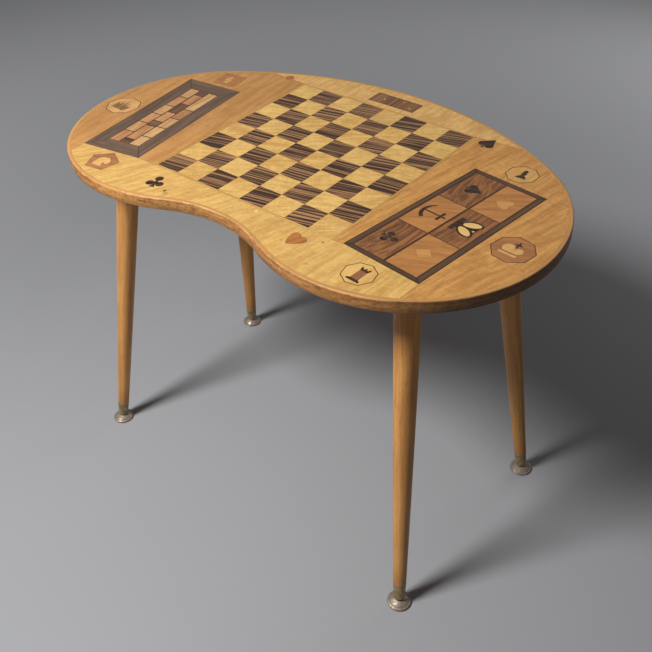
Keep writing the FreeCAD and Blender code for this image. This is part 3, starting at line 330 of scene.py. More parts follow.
def lacquer(tree, shader, height, place, roughness, depth=0.06 * MM):
    """Worn satin lacquer over wood: its roughness, its scratches and its relief."""
    used = add(tree, "Group", {"Place": place}, node_tree=HANDLING)
    rough = ramp(tree, used.outputs["Dull"], 0.0, 1.0, roughness - 0.07, roughness + 0.09)
    rough = calc(tree, "MULTIPLY_ADD", used.outputs["Scratches"], 0.16, rough)
    tree.links.new(rough, shader.inputs["Roughness"])
    scratched = calc(tree, "MULTIPLY_ADD", used.outputs["Scratches"], -0.6, height)
    relief(tree, shader, scratched, 0.5, depth)
    for name, value in LACQUER_SHEEN.items():
        shader.inputs[name].default_value = value
    return used


def wood(
    name, pale, dark, along=3.0, streaks=90, middle=0.5, softness=0.15, contrast=0.5,
    waves=0.006, fibres=0.25, pores=0.3, figure=0.1, tone=0.45, roughness=0.45, differ=0.0,
    fan=0.0, turn=None, spots=(), clouds=(),
):
    """A lacquered wood. Its grain follows the piece's own place, or X turned by a given angle.

    differ is how far the tone of each solid may differ, and fan how fast the streaks crowd
    together along the grain.
    """
    material, tree, shader = new_material(name, pale)
    place = object_place(tree)
    if turn is None:
        laid = own_value(tree, "place")
    else:
        rotation = (0, 0, -math.radians(turn))
        laid = add(tree, "Mapping", {"Vector": place, "Rotation": rotation}).outputs[0]
    if fan:
        forward, across, through = split(tree, laid)
        across = calc(tree, "MULTIPLY", across, calc(tree, "MULTIPLY_ADD", forward, fan, 1.0))
        laid = add(tree, "CombineXYZ", {0: forward, 1: across, 2: through}).outputs[0]
    if differ:
        first, second, _ = split(tree, own_value(tree, "own"))
        tone = ramp(tree, first, 0.0, 1.0, tone - differ, tone + differ, smooth=False)
        least = contrast * (1 - 1.6 * differ)
        contrast = ramp(tree, second, 0.0, 0.8, least, contrast, smooth=False)
    grain = add(
        tree, "Group",
        {"Place": laid, "Pale": pale, "Dark": dark, "Along": along, "Streaks": streaks,
         "Middle": middle, "Softness": softness, "Contrast": contrast, "Waves": waves,
         "Fibres": fibres, "Pores": pores, "Figure": figure, "Tone": tone},
        node_tree=GRAIN,
    )
    used = lacquer(tree, shader, grain.outputs["Height"], place, roughness)
    shade = grain.outputs["Color"]
    for tint, scale, amount, low in clouds:
        mask = ramp(tree, noise(tree, laid, scale, 3.0, 0.6, 0.5), low, low + 0.2, 0.0, amount)
        shade = stain(tree, shade, tint, mask)
    shade = stain(tree, shade, colour(84, 56, 34), used.outputs["Specks"], 0.35)
    for centre, radius, tint, amount in spots:
        spot = add(
            tree, "Group", {"Place": place, "Centre": centre, "Radius": radius}, node_tree=SPOT
        )
        shade = stain(tree, shade, tint, spot.outputs[0], amount)
    tree.links.new(shade, shader.inputs["Base Color"])
    return material


def on_board(x_squares, y_squares):
    """A point of the face, in chess squares from the front left corner of the chessboard."""
    x = BOARD_CORNER[0] + x_squares * SQUARE
    return (x, BOARD_CORNER[1] + y_squares * SQUARE, TOP_HEIGHT)


HONEY = colour(228, 187, 112)
HONEY_DARK = colour(200, 150, 80)

light_squares = wood(
    "light squares", HONEY, HONEY_DARK, along=30, streaks=170, contrast=0.75, waves=0.02,
    figure=0.6, fibres=0.45, pores=0.12, tone=0.38, differ=0.2,
)
front_veneer = wood(
    "front veneer", HONEY, HONEY_DARK, along=22, streaks=105, contrast=0.62, waves=0.03,
    figure=0.6, fibres=0.4, pores=0.12, tone=0.52, fan=1.8,
    spots=[
        (on_board(1.57, -1.1), 2.8 * MM, colour(92, 62, 32), 0.85),
        (on_board(1.72, -1.22), 4.2 * MM, colour(150, 110, 60), 0.5),
        (on_board(5.0, -0.25), 2.6 * MM, colour(240, 214, 160), 0.8),
        (on_board(7.9, -0.35), 2.2 * MM, colour(120, 74, 40), 0.7),
    ],
)
back_veneer = wood(
    "back veneer", colour(231, 185, 116), colour(200, 150, 84), along=24, streaks=130,
    contrast=0.7, waves=0.02, figure=0.6, fibres=0.35, pores=0.12, tone=0.42,
)
left_veneer = wood(
    "left veneer", colour(204, 150, 90), colour(170, 116, 60), along=12, streaks=110,
    contrast=0.5, waves=0.02, figure=0.5, fibres=0.3, pores=0.2, tone=0.42,
)
right_veneer = wood(
    "right veneer", colour(218, 162, 92), colour(172, 114, 56), along=16, streaks=170,
    contrast=0.52, waves=0.02, figure=0.6, fibres=0.5, pores=0.4, tone=0.42,
    clouds=[(colour(156, 100, 50), (40, 130, 130), 0.3, 0.55)],
)
dark_squares = wood(
    "dark squares", colour(180, 133, 88), colour(60, 40, 31), streaks=420, middle=0.47,
    softness=0.08, contrast=1.15, waves=0.004, figure=0.06, pores=0.3, fibres=0.5, tone=0.57,
    roughness=0.42, differ=0.1,
)
frame_wood = wood(
    "frame wood", colour(124, 98, 78), colour(76, 58, 47), along=14, streaks=300, contrast=0.6,
    pores=0.5, tone=0.5, fibres=0.3, differ=0.1,
)
anchor_frame_wood = wood(
    "anchor frame wood", colour(114, 82, 54), colour(60, 42, 29), streaks=420, contrast=1.0,
    pores=0.4, tone=0.5, fibres=0.4, differ=0.1,
)
line_wood = wood(
    "line wood", colour(84, 54, 36), colour(46, 30, 22), streaks=300, contrast=0.6, tone=0.5
)
pale_string = wood(
    "pale string", colour(222, 178, 100), colour(182, 130, 66), streaks=260, contrast=0.8,
    tone=0.4, differ=0.1,
)
cream_wood = wood(
    "cream wood", colour(214, 168, 114), colour(176, 128, 82), along=30, streaks=260, contrast=0.8,
    tone=0.45, figure=0.4, differ=0.2,
)
pink_wood = wood(
    "pink wood", colour(202, 148, 102), colour(158, 106, 68), along=30, streaks=260,
    contrast=0.8, tone=0.42, figure=0.3, differ=0.25,
)
dark_brick_wood = wood(
    "dark brick wood", colour(130, 92, 66), colour(78, 52, 38), streaks=300, contrast=0.9,
    tone=0.5, differ=0.2,
)
red_wood = wood(
    "red wood", colour(158, 104, 62), colour(88, 56, 35), along=12, streaks=230, softness=0.12,
    contrast=0.85, waves=0.05, figure=0.3, fibres=0.5, pores=0.35, tone=0.44, differ=0.1,
    clouds=[(colour(80, 51, 35), (22, 60, 60), 0.5, 0.52)],
)
tan_wood = wood(
    "tan wood", colour(196, 136, 78), colour(156, 100, 52), along=12, streaks=140, contrast=0.6,
    waves=0.03, figure=0.2, fibres=0.35, tone=0.4, differ=0.16,
)
black_wood = wood(
    "black wood", colour(88, 62, 44), colour(40, 27, 20), streaks=300, contrast=0.9, tone=0.68,
    pores=0.1,
)
medallion_brown = wood(
    "medallion brown", colour(186, 128, 80), colour(146, 92, 54), streaks=150, contrast=0.7,
    waves=0.03, tone=0.42, figure=0.2, differ=0.16,
)
medallion_pale = wood(
    "medallion pale", colour(218, 170, 100), colour(190, 138, 76), streaks=110, contrast=0.5,
    tone=0.4, figure=0.3,
)
rook_ground = wood(
    "rook ground", colour(232, 188, 112), colour(204, 154, 84), along=24, streaks=130,
    contrast=0.6, tone=0.4, figure=0.3,
)
queen_ground = wood(
    "queen ground", colour(220, 172, 112), colour(188, 134, 78), streaks=110, contrast=0.5,
    tone=0.4, figure=0.3,
)
queen_wood = wood(
    "queen wood", colour(152, 112, 66), colour(98, 70, 42), streaks=300, contrast=0.9, tone=0.5
)
figure_pale = wood(
    "figure pale", colour(222, 172, 106), colour(192, 140, 80), streaks=150, contrast=0.6,
    tone=0.4, figure=0.2, differ=0.2,
)
suit_tan = wood(
    "suit tan", colour(214, 156, 92), colour(186, 128, 70), streaks=150, contrast=0.6, tone=0.4,
    figure=0.2, differ=0.2,
)
suit_pale = wood(
    "suit pale", colour(244, 204, 130), colour(212, 162, 92), streaks=150, contrast=0.6, tone=0.4,
    figure=0.2, differ=0.2,
)
figure_red = wood(
    "figure red", colour(190, 124, 68), colour(140, 84, 46), streaks=150, contrast=0.7, tone=0.45,
    figure=0.15, differ=0.2,
)
rook_wood = wood(
    "rook wood", colour(160, 106, 70), colour(112, 70, 46), streaks=200, contrast=0.8, tone=0.5
)
domino_wood = wood(
    "domino wood", colour(152, 108, 72), colour(106, 72, 48), streaks=220, contrast=0.8, tone=0.5
)
core_wood = wood(
    "core wood", colour(206, 176, 130), colour(168, 134, 92), streaks=200, contrast=0.9,
    roughness=0.75, pores=0.4, turn=0,
)
backing_wood = wood(
    "backing wood", colour(196, 146, 96), colour(140, 92, 56), streaks=60, contrast=0.9,
    waves=0.03, roughness=0.62, pores=0.6, fibres=0.2, turn=4,
)


def make_band_wood():
    """The edge band: grain along the edge, coarse specks, rubbed arrises, dark scuffs, and painted
    shade on its lower part and at its right end.

    Its place runs along the edge, outwards from its inner side, and up from its underside.
    """
    material, tree, shader = new_material("edge band", colour(190, 130, 70))
    place = own_value(tree, "place")
    grain = add(
        tree, "Group",
        {"Place": place, "Pale": colour(208, 150, 84), "Dark": colour(142, 88, 42),
         "Streaks": 260.0, "Softness": 0.14, "Contrast": 0.6, "Waves": 0.008, "Fibres": 0.4,
         "Pores": 0.45, "Figure": 0.5, "Tone": 0.42},
        node_tree=GRAIN,
    )
    lacquer(tree, shader, grain.outputs["Height"], place, 0.55, depth=0.12 * MM)
    _, outwards, height = split(tree, place)
    side = ramp(tree, outwards, 2.8 * MM, 4.6 * MM)
    low = ramp(tree, height, 0.0, 3.2 * MM, 1.0, 0.0)
    high = ramp(tree, height, TOP_THICKNESS - 3.6 * MM, TOP_THICKNESS - 0.4 * MM)
    arris = calc(tree, "MAXIMUM", low, high)
    speck = ramp(tree, noise(tree, place, (140, 330, 330), 3.0, 0.65), 0.5, 0.62)
    shade = stain(tree, grain.outputs["Color"], colour(124, 74, 36), speck, side, 0.55)
    glint = ramp(tree, noise(tree, place, (110, 330, 330), 2.0, 0.6), 0.6, 0.7)
    shade = stain(tree, shade, colour(228, 176, 104), glint, side, 0.5)
    rub = ramp(tree, noise(tree, place, (38, 90, 90), 4.0, 0.65), 0.44, 0.6)
    shade = stain(tree, shade, colour(232, 186, 122), rub, arris, side, 0.6)
    scuff = ramp(tree, noise(tree, place, (50, 150, 150), 4.0, 0.62, 0.8), 0.57, 0.67)
    shade = stain(tree, shade, colour(98, 58, 30), scuff, 0.6)
    nick = ramp(tree, noise(tree, place, (190, 260, 260), 2.0), 0.7, 0.76)
    shade = stain(tree, shade, colour(70, 42, 26), nick, arris, 0.8)
    # painted shade: the band darker towards its underside, where less light falls on it
    painted_shade_below = ramp(tree, height, 0.0, 10 * MM, 0.45, 0.0)
    shade = stain(tree, shade, colour(98, 59, 34), painted_shade_below)
    # painted shade: the band's outer side darker at the right end, which the key lamp leaves in
    # shadow
    right_end = ramp(tree, split(tree, object_place(tree))[0], 220 * MM, 330 * MM)
    shade = stain(tree, shade, colour(80, 48, 28), right_end, side, 0.65)
    face = ramp(tree, height, TOP_THICKNESS - 1.2 * MM, TOP_THICKNESS - 0.2 * MM, 0.0, 0.5)
    shade = stain(tree, shade, colour(206, 154, 94), face)
    tree.links.new(shade, shader.inputs["Base Color"])
    return material


def make_leg_wood():
    """Honey-coloured turned beech: long grain, short flecks and a grubby foot.

    Its place runs up the leg from the middle of the foot's ball, and then across it.
    """
    material, tree, shader = new_material("leg wood", colour(205, 155, 95))
    place = own_value(tree, "place")
    grain = add(
        tree, "Group",
        {"Place": place, "Pale": colour(222, 162, 92), "Dark": colour(178, 116, 58),
         "Streaks": 120.0, "Softness": 0.15, "Contrast": 0.6, "Waves": 0.012, "Fibres": 0.3,
         "Pores": 0.5, "Figure": 0.08, "Tone": 0.38},
        node_tree=GRAIN,
    )
    used = lacquer(tree, shader, grain.outputs["Height"], place, 0.42)
    fleck = ramp(tree, noise(tree, place, (170, 800, 800), 1.0), 0.66, 0.74)
    shade = stain(tree, grain.outputs["Color"], colour(146, 90, 46), fleck, 0.35)
    mark = ramp(tree, noise(tree, place, (26, 60, 60), 4.0, 0.7), 0.66, 0.72)
    shade = stain(tree, shade, colour(120, 74, 40), mark, 0.3)
    foot = ramp(tree, split(tree, place)[0], 32 * MM, 75 * MM, 0.4, 0.0)
    shade = stain(tree, shade, colour(136, 84, 44), foot)
    shade = stain(tree, shade, colour(150, 100, 54), used.outputs["Dull"], 0.12)
    tree.links.new(shade, shader.inputs["Base Color"])
    return material


def make_brass(name, clean, brown, roughness, metallic):
    """Tarnished brass with turning marks."""
    material, tree, shader = new_material(name, clean)
    place = own_value(tree, "place")
    old = add(tree, "Group", {"Place": place}, node_tree=TARNISH)
    shade = stain(tree, clean, brown, old.outputs["Film"], 0.85)
    shade = stain(tree, shade, colour(52, 42, 34), old.outputs["Specks"], 0.5)
    tree.links.new(shade, shader.inputs["Base Color"])
    rough = ramp(tree, old.outputs["Film"], 0.0, 1.0, roughness - 0.1, roughness + 0.14)
    tree.links.new(rough, shader.inputs["Roughness"])
    metal = ramp(tree, old.outputs["Film"], 0.0, 1.0, metallic, 0.35)
    tree.links.new(metal, shader.inputs["Metallic"])
    pitted = calc(tree, "MULTIPLY_ADD", old.outputs["Specks"], -0.6, old.outputs["Marks"])
    relief(tree, shader, pitted, 0.35, 0.08 * MM)
    return material


def make_zinc():
    """Zinc-plated steel: fine spangle, a dull film and rubbed places."""
    material, tree, shader = new_material("zinc plate", (0.55, 0.55, 0.55, 1))
    place = object_place(tree)
    spangle = noise(tree, place, (420, 420, 420), 3.0, 0.6)
    film = noise(tree, place, (60, 60, 60), 4.0, 0.6)
    shade = mix_colour(tree, spangle, (0.4, 0.41, 0.42, 1), (0.64, 0.64, 0.62, 1))
    shade = stain(tree, shade, (0.33, 0.29, 0.22, 1), ramp(tree, film, 0.45, 0.7, 0.0, 0.45))
    tree.links.new(shade, shader.inputs["Base Color"])
    tree.links.new(ramp(tree, film, 0.3, 0.7, 0.3, 0.5), shader.inputs["Roughness"])
    shader.inputs["Metallic"].default_value = 1.0
    relief(tree, shader, spangle, 0.2, 0.05 * MM)
    return material


def make_speckled(name, first, second, scale, rough):
    """A dull material of two mixed colours, with the relief of its own speckle."""
    material, tree, shader = new_material(name, first)
    speck = noise(tree, object_place(tree), (scale, scale, scale), 2.0)
    tree.links.new(mix_colour(tree, speck, first, second), shader.inputs["Base Color"])
    tree.links.new(ramp(tree, speck, 0.3, 0.7, *rough), shader.inputs["Roughness"])
    relief(tree, shader, speck, 0.2, 0.03 * MM)
    return material


band_wood = make_band_wood()
leg_wood = make_leg_wood()
foot_brass = make_brass(
    "foot brass", colour(176, 160, 144), colour(126, 110, 98), roughness=0.5, metallic=0.7
)
ferrule_brass = make_brass(
    "ferrule brass", colour(186, 166, 124), colour(120, 102, 68), roughness=0.48, metallic=0.6
)
zinc = make_zinc()
nylon = make_speckled(
    "nylon", (0.03, 0.03, 0.03, 1), (0.07, 0.068, 0.065, 1), scale=1500, rough=(0.4, 0.55)
)
glue_line = make_speckled(
    "glue line", colour(92, 56, 30), colour(140, 94, 50), scale=160, rough=(0.6, 0.75)
)
dark_edge = make_speckled(
    "dark edge", colour(52, 33, 22), colour(74, 50, 34), scale=260, rough=(0.5, 0.65)
)


# Shapes


def finish_piece(shape, name, body, materials, stands_for, smooth=35, weld=True):
    """Makes an object of a bmesh, gives it its finish, and lets it ride on a body."""
    if weld:
        bmesh.ops.remove_doubles(shape, verts=shape.verts, dist=SAME_PLACE)
    bmesh.ops.recalc_face_normals(shape, faces=shape.faces)
    mesh = bpy.data.meshes.new(name)
    shape.to_mesh(mesh)
    shape.free()
    for material in materials:
        mesh.materials.append(material)
    piece = bpy.data.objects.new(name, mesh)
    bpy.context.scene.collection.objects.link(piece)
    for face in mesh.polygons:
        face.use_smooth = True
    mesh.set_sharp_from_angle(angle=math.radians(smooth))
    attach(piece, body)
    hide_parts(*stands_for)
    return piece


def soften(piece, width, angle=30):
    """Takes the sharpness off a piece's edges."""
    bevel = piece.modifiers.new("soft edges", "BEVEL")
    bevel.width = width
    bevel.segments = 2
    bevel.limit_method = "ANGLE"
    bevel.angle_limit = math.radians(angle)
    bevel.use_clamp_overlap = True


def turn_profile(shape, profile, steps, closed=True):
    """Turns a profile of radii and heights about +Z, closing it into a ring unless told not to."""
    points = [shape.verts.new((radius, 0, height)) for radius, height in profile]
    pairs = list(zip(points, points[1:]))
    if closed:
        pairs.append((points[-1], points[0]))
    edges = [shape.edges.new(pair) for pair in pairs]
    bmesh.ops.spin(
        shape, geom=points + edges, cent=ORIGIN, axis=UP, dvec=ORIGIN, angle=math.tau,
        steps=steps, use_merge=True, use_duplicate=False,
    )


def leg_axis(leg):
    """The leg's place at the ball's centre, +Z up along the leg, and its length to the seat."""
    ball = Vector(joints[f"foot_tilt_{leg}"]["pos_m"])
    seat = Vector(joints[f"leg_unscrew_{leg}"]["pos_m"])
    along = (seat - ball).normalized()
    turn = UP.rotation_difference(along).to_matrix().to_4x4()
    return Matrix.Translation(ball) @ turn, (seat - ball).length


# Inlaid pieces: each solid of a packed veneer again, with its own grain and tone and a fine seam

SEAM_WIDTH = 0.17 * MM
SEAM_DEPTH = 0.1 * MM
FACING_UP = 0.99
# Node: its wood, the degrees its grain is turned from +X, or None to follow each solid's longest
# side, how far that differs from solid to solid, and where it hasn't the fine seam of the others,
# the width of its dark rim, or 0 for none
VENEERS = {
    "board_light_squares": (light_squares, 32, 30),
    "board_dark_squares": (dark_squares, 11, 9),
    "board_strings": (pale_string, None, 0),
    "brick_frame": (frame_wood, None, 0, 0.5 * MM),
    "brick_lines": (line_wood, 98, 0, 0),
    "cream_bricks": (cream_wood, None, 0),
    "pink_bricks": (pink_wood, None, 0),
    "dark_bricks": (dark_brick_wood, None, 0),
    "anchor_frame": (anchor_frame_wood, None, 0, 2.0 * MM),
    "anchor_strings": (line_wood, 82, 0, 0),
    "red_cells": (red_wood, 60, 70),
    "tan_cells": (tan_wood, 20, 20),
    "panel_dark_figures": (black_wood, 0, 40),
    "panel_light_figures": (suit_tan, 30, 60),
    "pale_medallions": (medallion_pale, 80, 20),
    "brown_medallions": (medallion_brown, 12, 30),
    "dark_strings": (line_wood, 0, 0, 0),
    "dark_chess_figures": (black_wood, 80, 40),
    "pale_figures": (figure_pale, 60, 40),
    "dark_suits": (black_wood, 40, 60),
    "red_figures": (figure_red, 70, 40),
    "domino_halves": (domino_wood, 92, 0),
    "front_field": (front_veneer, 93, 0),
    "back_field": (back_veneer, 86, 0),
    "left_field": (left_veneer, 96, 0),
    "left_end_field": (left_veneer, 98, 0),
    "right_field": (right_veneer, 80, 0),
    "right_end_field": (right_veneer, 78, 0),
}
# Solids of a node that are of another wood: those near a place of the face, within a reach
OTHER_WOODS = {
    "pale_medallions": [
        ((-336 * MM, -46 * MM), 40 * MM, queen_ground),
        ((220 * MM, -176 * MM), 20 * MM, rook_ground),
    ],
    "dark_chess_figures": [((-336 * MM, -46 * MM), 40 * MM, queen_wood)],
    "panel_light_figures": [((270 * MM, -33 * MM), 30 * MM, suit_pale)],
    "red_figures": [((220 * MM, -180 * MM), 20 * MM, rook_wood)],
}


def chance(place, salt):
    """A number from 0 to 1 that belongs to a place, and is another one with another salt."""
    value = math.sin(place.x * 1270.1 + place.y * 3117.7 + salt * 74.7) * 43758.5453
    return value - math.floor(value)


def separate_solids(shape):
    """The points of each solid of a mesh, as lists."""
    for vert in shape.verts:
        vert.tag = False
    solids = []
    for start in shape.verts:
        if start.tag:
            continue
        start.tag = True
        solid = [start]
        for vert in solid:
            for edge in vert.link_edges:
                other = edge.other_vert(vert)
                if not other.tag:
                    other.tag = True
                    solid.append(other)
        solids.append(solid)
    return solids


def edge_turn(edge):
    step = edge.verts[1].co - edge.verts[0].co
    return math.degrees(math.atan2(step.y, step.x)) % 180


def inlay(node, material, turn, differ, seam=SEAM_WIDTH):
    """Rebuilds a packed veneer from its upper faces, with a lowered dark rim round each solid."""
    low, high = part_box(node)
    shape = bmesh.new()
    shape.from_mesh(nodes[node].data)
    hidden = [face for face in shape.faces if face.normal.z < FACING_UP]
    bmesh.ops.delete(shape, geom=hidden, context="FACES")
    place = shape.verts.layers.float_vector.new("place")
    own = shape.verts.layers.float_vector.new("own")
    other_woods = OTHER_WOODS.get(node, [])
    for solid in separate_solids(shape):
        centre = sum((vert.co for vert in solid), Vector()) / len(solid)
        own_chance = Vector([chance(centre, salt) for salt in (1, 2, 3)])
        if turn is None:
            sides = [edge for vert in solid for edge in vert.link_edges if edge.is_boundary]
            angle = edge_turn(max(sides, key=lambda edge: edge.calc_length()))
        else:
            angle = turn + differ * (chance(centre, 4) - 0.5)
        unturn = Matrix.Rotation(-math.radians(angle), 3, "Z")
        for number, (spot, reach, _) in enumerate(other_woods):
            if (centre.xy - Vector(spot)).length < reach:
                for face in {face for vert in solid for face in vert.link_faces}:
                    face.material_index = 2 + number
        for vert in solid:
            vert[place] = unturn @ vert.co + own_chance
            vert[own] = own_chance
    drop = Vector((0, 0, low.z - high.z))
    bmesh.ops.translate(shape, verts=shape.verts, vec=drop)
    lifted = bmesh.ops.extrude_face_region(shape, geom=shape.faces[:], use_keep_orig=True)["geom"]
    bmesh.ops.translate(
        shape, verts=[part for part in lifted if isinstance(part, bmesh.types.BMVert)], vec=-drop
    )
    upper = [part for part in lifted if isinstance(part, bmesh.types.BMFace)]
    if seam:
        rim = bmesh.ops.inset_region(
            shape, faces=upper, thickness=seam, use_boundary=True, use_even_offset=True
        )["faces"]
        inner = {vert for face in upper for vert in face.verts}
        for face in rim:
            face.material_index = 1
        for vert in {vert for face in rim for vert in face.verts} - inner:
            vert.co.z -= SEAM_DEPTH
    edge_finish = glue_line if seam == SEAM_WIDTH else dark_edge
    materials = [material, edge_finish] + [other for _, _, other in other_woods]
    finish_piece(
        shape, f"inlaid_{node}", "top", materials, [node], smooth=10, weld=False
    )


for node, finish in VENEERS.items():
    inlay(node, *finish)


def refinish(name, material):
    """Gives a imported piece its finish."""
    slots = nodes[name].data.materials
    slots.clear()
    slots.append(material)
    return nodes[name]


refinish("top_core", core_wood)
refinish("backing_sheet", backing_wood)


# The edge band: its cross-section carried round the kidney, one arc after another


def quarter_oval(across, along, tight_share):
    """The radii of a quarter oval's two arcs: at its side, and at its front or back."""
    short, long = sorted((across, along))
    tight = tight_share * short
    wide = (short**2 + long**2 - 2 * long * tight) / (2 * (short - tight))
    return (tight, wide) if across > along else (wide, tight)


def kidney_arcs():
    """The arcs of the kidney from the middle of the back, anticlockwise: centre, radius, turns."""
    widest = FRONT + WIDEST_INSET
    lobe = HALF_LENGTH - LOBE_INSET
    shoulder, back = quarter_oval(HALF_LENGTH, BACK - widest, SHOULDER_SHARE)
    corner, front = quarter_oval(LOBE_INSET, WIDEST_INSET, CORNER_SHARE)
    both = (lobe**2 + BAY_DEPTH**2) / (2 * BAY_DEPTH)
    bay = both * BAY_SHARE
    inner = both - bay
    back_centre = Vector((0, BACK - back, 0))
    shoulder_centre = Vector((HALF_LENGTH - shoulder, widest, 0))
    corner_centre = Vector((HALF_LENGTH - corner, widest, 0))
    front_centre = Vector((lobe, FRONT + front, 0))
    inner_centre = Vector((lobe, FRONT + inner, 0))
    bay_centre = Vector((0, FRONT + BAY_DEPTH - bay, 0))

    def heading(start, end):
        return math.atan2(end.y - start.y, end.x - start.x)

    shoulder_turn = heading(back_centre, shoulder_centre)
    corner_turn = heading(front_centre, corner_centre)
    bay_turn = heading(bay_centre, inner_centre)
    quarter = math.pi / 2
    right = [
        (inner_centre, inner, bay_turn - math.pi, -quarter),
        (front_centre, front, -quarter, corner_turn),
        (corner_centre, corner, corner_turn, 0.0),
        (shoulder_centre, shoulder, 0.0, shoulder_turn),
        (back_centre, back, shoulder_turn, quarter),
    ]
    left = [
        (Vector((-centre.x, centre.y, 0)), radius, math.pi - end, math.pi - start)
        for centre, radius, start, end in reversed(right)
    ]
    return left + [(bay_centre, bay, math.pi - bay_turn, bay_turn)] + right


def edge_band():
    """The band's cross-section, spun a little at a time so that each point keeps its place."""
    shape = bmesh.new()
    # the section starts at the middle of the back, where the band's two ends meet
    section = [
        shape.verts.new((0, BACK - inset, height))
        for inset, height in (
            (0, UNDERSIDE), (0, TOP_HEIGHT), (BAND_WIDTH, TOP_HEIGHT), (BAND_WIDTH, UNDERSIDE),
        )
    ]
    for n in range(4):
        shape.edges.new((section[n - 1], section[n]))
    bmesh.ops.bevel(
        shape, geom=section[:2], offset=BAND_ROUND, offset_type="OFFSET", segments=4,
        profile=0.5, affect="VERTICES", material=-1, clamp_overlap=True,
    )
    place = shape.verts.layers.float_vector.new("place")
    for vert in shape.verts:
        vert[place] = (0, BAND_WIDTH - (BACK - vert.co.y), vert.co.z - UNDERSIDE)
    travelled = 0.0
    last = list(shape.verts) + list(shape.edges)
    for centre, radius, start, end in kidney_arcs():
        turn = (end - start + math.pi) % math.tau - math.pi
        steps = max(2, round(radius * abs(turn) / BAND_STEP))
        for _ in range(steps):
            last = bmesh.ops.spin(
                shape, geom=last, cent=centre, axis=UP, dvec=ORIGIN, angle=turn / steps,
                steps=1, use_merge=False, use_duplicate=False,
            )["geom_last"]
            travelled += radius * abs(turn) / steps
            for vert in last:
                if isinstance(vert, bmesh.types.BMVert):
                    vert[place] = (travelled, vert[place].y, vert[place].z)
    open_edges = [edge for edge in shape.edges if edge.is_boundary]
    bmesh.ops.holes_fill(shape, edges=open_edges)
    finish_piece(
        shape, "lipping", "top", [band_wood], ["edge_band"], smooth=40, weld=False
    )


edge_band()


# Legs, ferrules, studs and feet


def turned_piece(name, profile, place, body, material, stands_for, seed, round_off):
    """A piece turned on the lathe. Its points keep their place up and across it, for the grain."""
    shape = bmesh.new()
    turn_profile(shape, profile, TURNED_STEPS)
    bmesh.ops.remove_doubles(shape, verts=shape.verts, dist=SAME_PLACE)
    layer = shape.verts.layers.float_vector.new("place")
    for vert in shape.verts:
        vert[layer] = vert.co.zxy + Vector((0, seed, seed * 0.7))
    bmesh.ops.transform(shape, matrix=place, verts=shape.verts)
    piece = finish_piece(shape, name, body, [material], [stands_for])
    soften(piece, round_off)


def leg_profile(length):
    """From the seat down the outside to the ferrule's shoulder, and back up the two bores."""
    foot = FERRULE_FOOT + FERRULE_WALL
    corner = LEG_TOP_ROUND * 0.3
    steps = 12
    taper = [
        (
            LEG_TOP_RADIUS + (FERRULE_TOP_RADIUS - LEG_TOP_RADIUS) * n / steps
            + LEG_BELLY * math.sin(math.pi * n / steps),
            length - LEG_TOP_ROUND + (FERRULE_TOP - length + LEG_TOP_ROUND) * n / steps,
        )
        for n in range(steps + 1)
    ]
    bolt_hole = BOLT_RADIUS + RUNNING_GAP
    hole_end = length - BOLT_HOLD - RUNNING_GAP
    return (
        [(bolt_hole, length), (LEG_TOP_RADIUS - LEG_TOP_ROUND, length),
         (LEG_TOP_RADIUS - corner, length - corner)]
        + taper
        + [(FERRULE_TOP_RADIUS - FERRULE_WALL, FERRULE_TOP),
           (FERRULE_FOOT_RADIUS - FERRULE_WALL, foot), (PIN_RADIUS, foot),
           (PIN_RADIUS, PIN_HIGH), (NEAR_AXIS, PIN_HIGH), (NEAR_AXIS, hole_end),
           (bolt_hole, hole_end)]
    )


FERRULE_PROFILE = [
    (PIN_RADIUS + RUNNING_GAP, FERRULE_FOOT),
    (FERRULE_FOOT_RADIUS - 0.6 * MM, FERRULE_FOOT),
    (FERRULE_FOOT_RADIUS, FERRULE_FOOT + 0.6 * MM),
    (FERRULE_FOOT_RADIUS + 0.03 * MM, FERRULE_FOOT + 2.2 * MM),
    (FERRULE_TOP_RADIUS - 0.03 * MM, FERRULE_TOP - 1.2 * MM),
    (FERRULE_TOP_RADIUS, FERRULE_TOP - 0.4 * MM),
    (FERRULE_TOP_RADIUS - 0.3 * MM, FERRULE_TOP),
    (FERRULE_TOP_RADIUS - FERRULE_WALL, FERRULE_TOP),
    (FERRULE_FOOT_RADIUS - FERRULE_WALL, FERRULE_FOOT + FERRULE_WALL),
    (PIN_RADIUS + RUNNING_GAP, FERRULE_FOOT + FERRULE_WALL),
]
# The foot: flat underside, full bead, a quirk above it, a domed top, a small collar and a hollow
FOOT_PROFILE = [
    (radius * MM, height * MM)
    for radius, height in (
        (0.1, 0), (15.2, 0), (16.3, 0.5), (16.85, 1.2), (17, 2), (16.85, 2.8), (16.3, 3.5),
        (15.4, 3.95), (14.7, 4), (14.2, 4.3), (13.5, 5.2), (12.4, 6.1), (11.1, 6.95), (9.8, 7.6),
        (8.5, 8.15), (7.4, 8.75), (6.6, 9.2), (5, 9.2), (5, 8.35), (6.05, 8.35), (6.05, 1.5),
        (0.1, 1.5),
    )
]


def stud_shape(place):
    """A ball on a pin."""
    shape = bmesh.new()
    bmesh.ops.create_uvsphere(shape, u_segments=SMALL_STEPS, v_segments=20, radius=BALL_RADIUS)
    turn_profile(
        shape,
        [(NEAR_AXIS, PIN_LOW), (PIN_RADIUS, PIN_LOW), (PIN_RADIUS, PIN_HIGH),
         (NEAR_AXIS, PIN_HIGH)],
        SMALL_STEPS,
    )
    bmesh.ops.transform(shape, matrix=place, verts=shape.verts)
    return shape


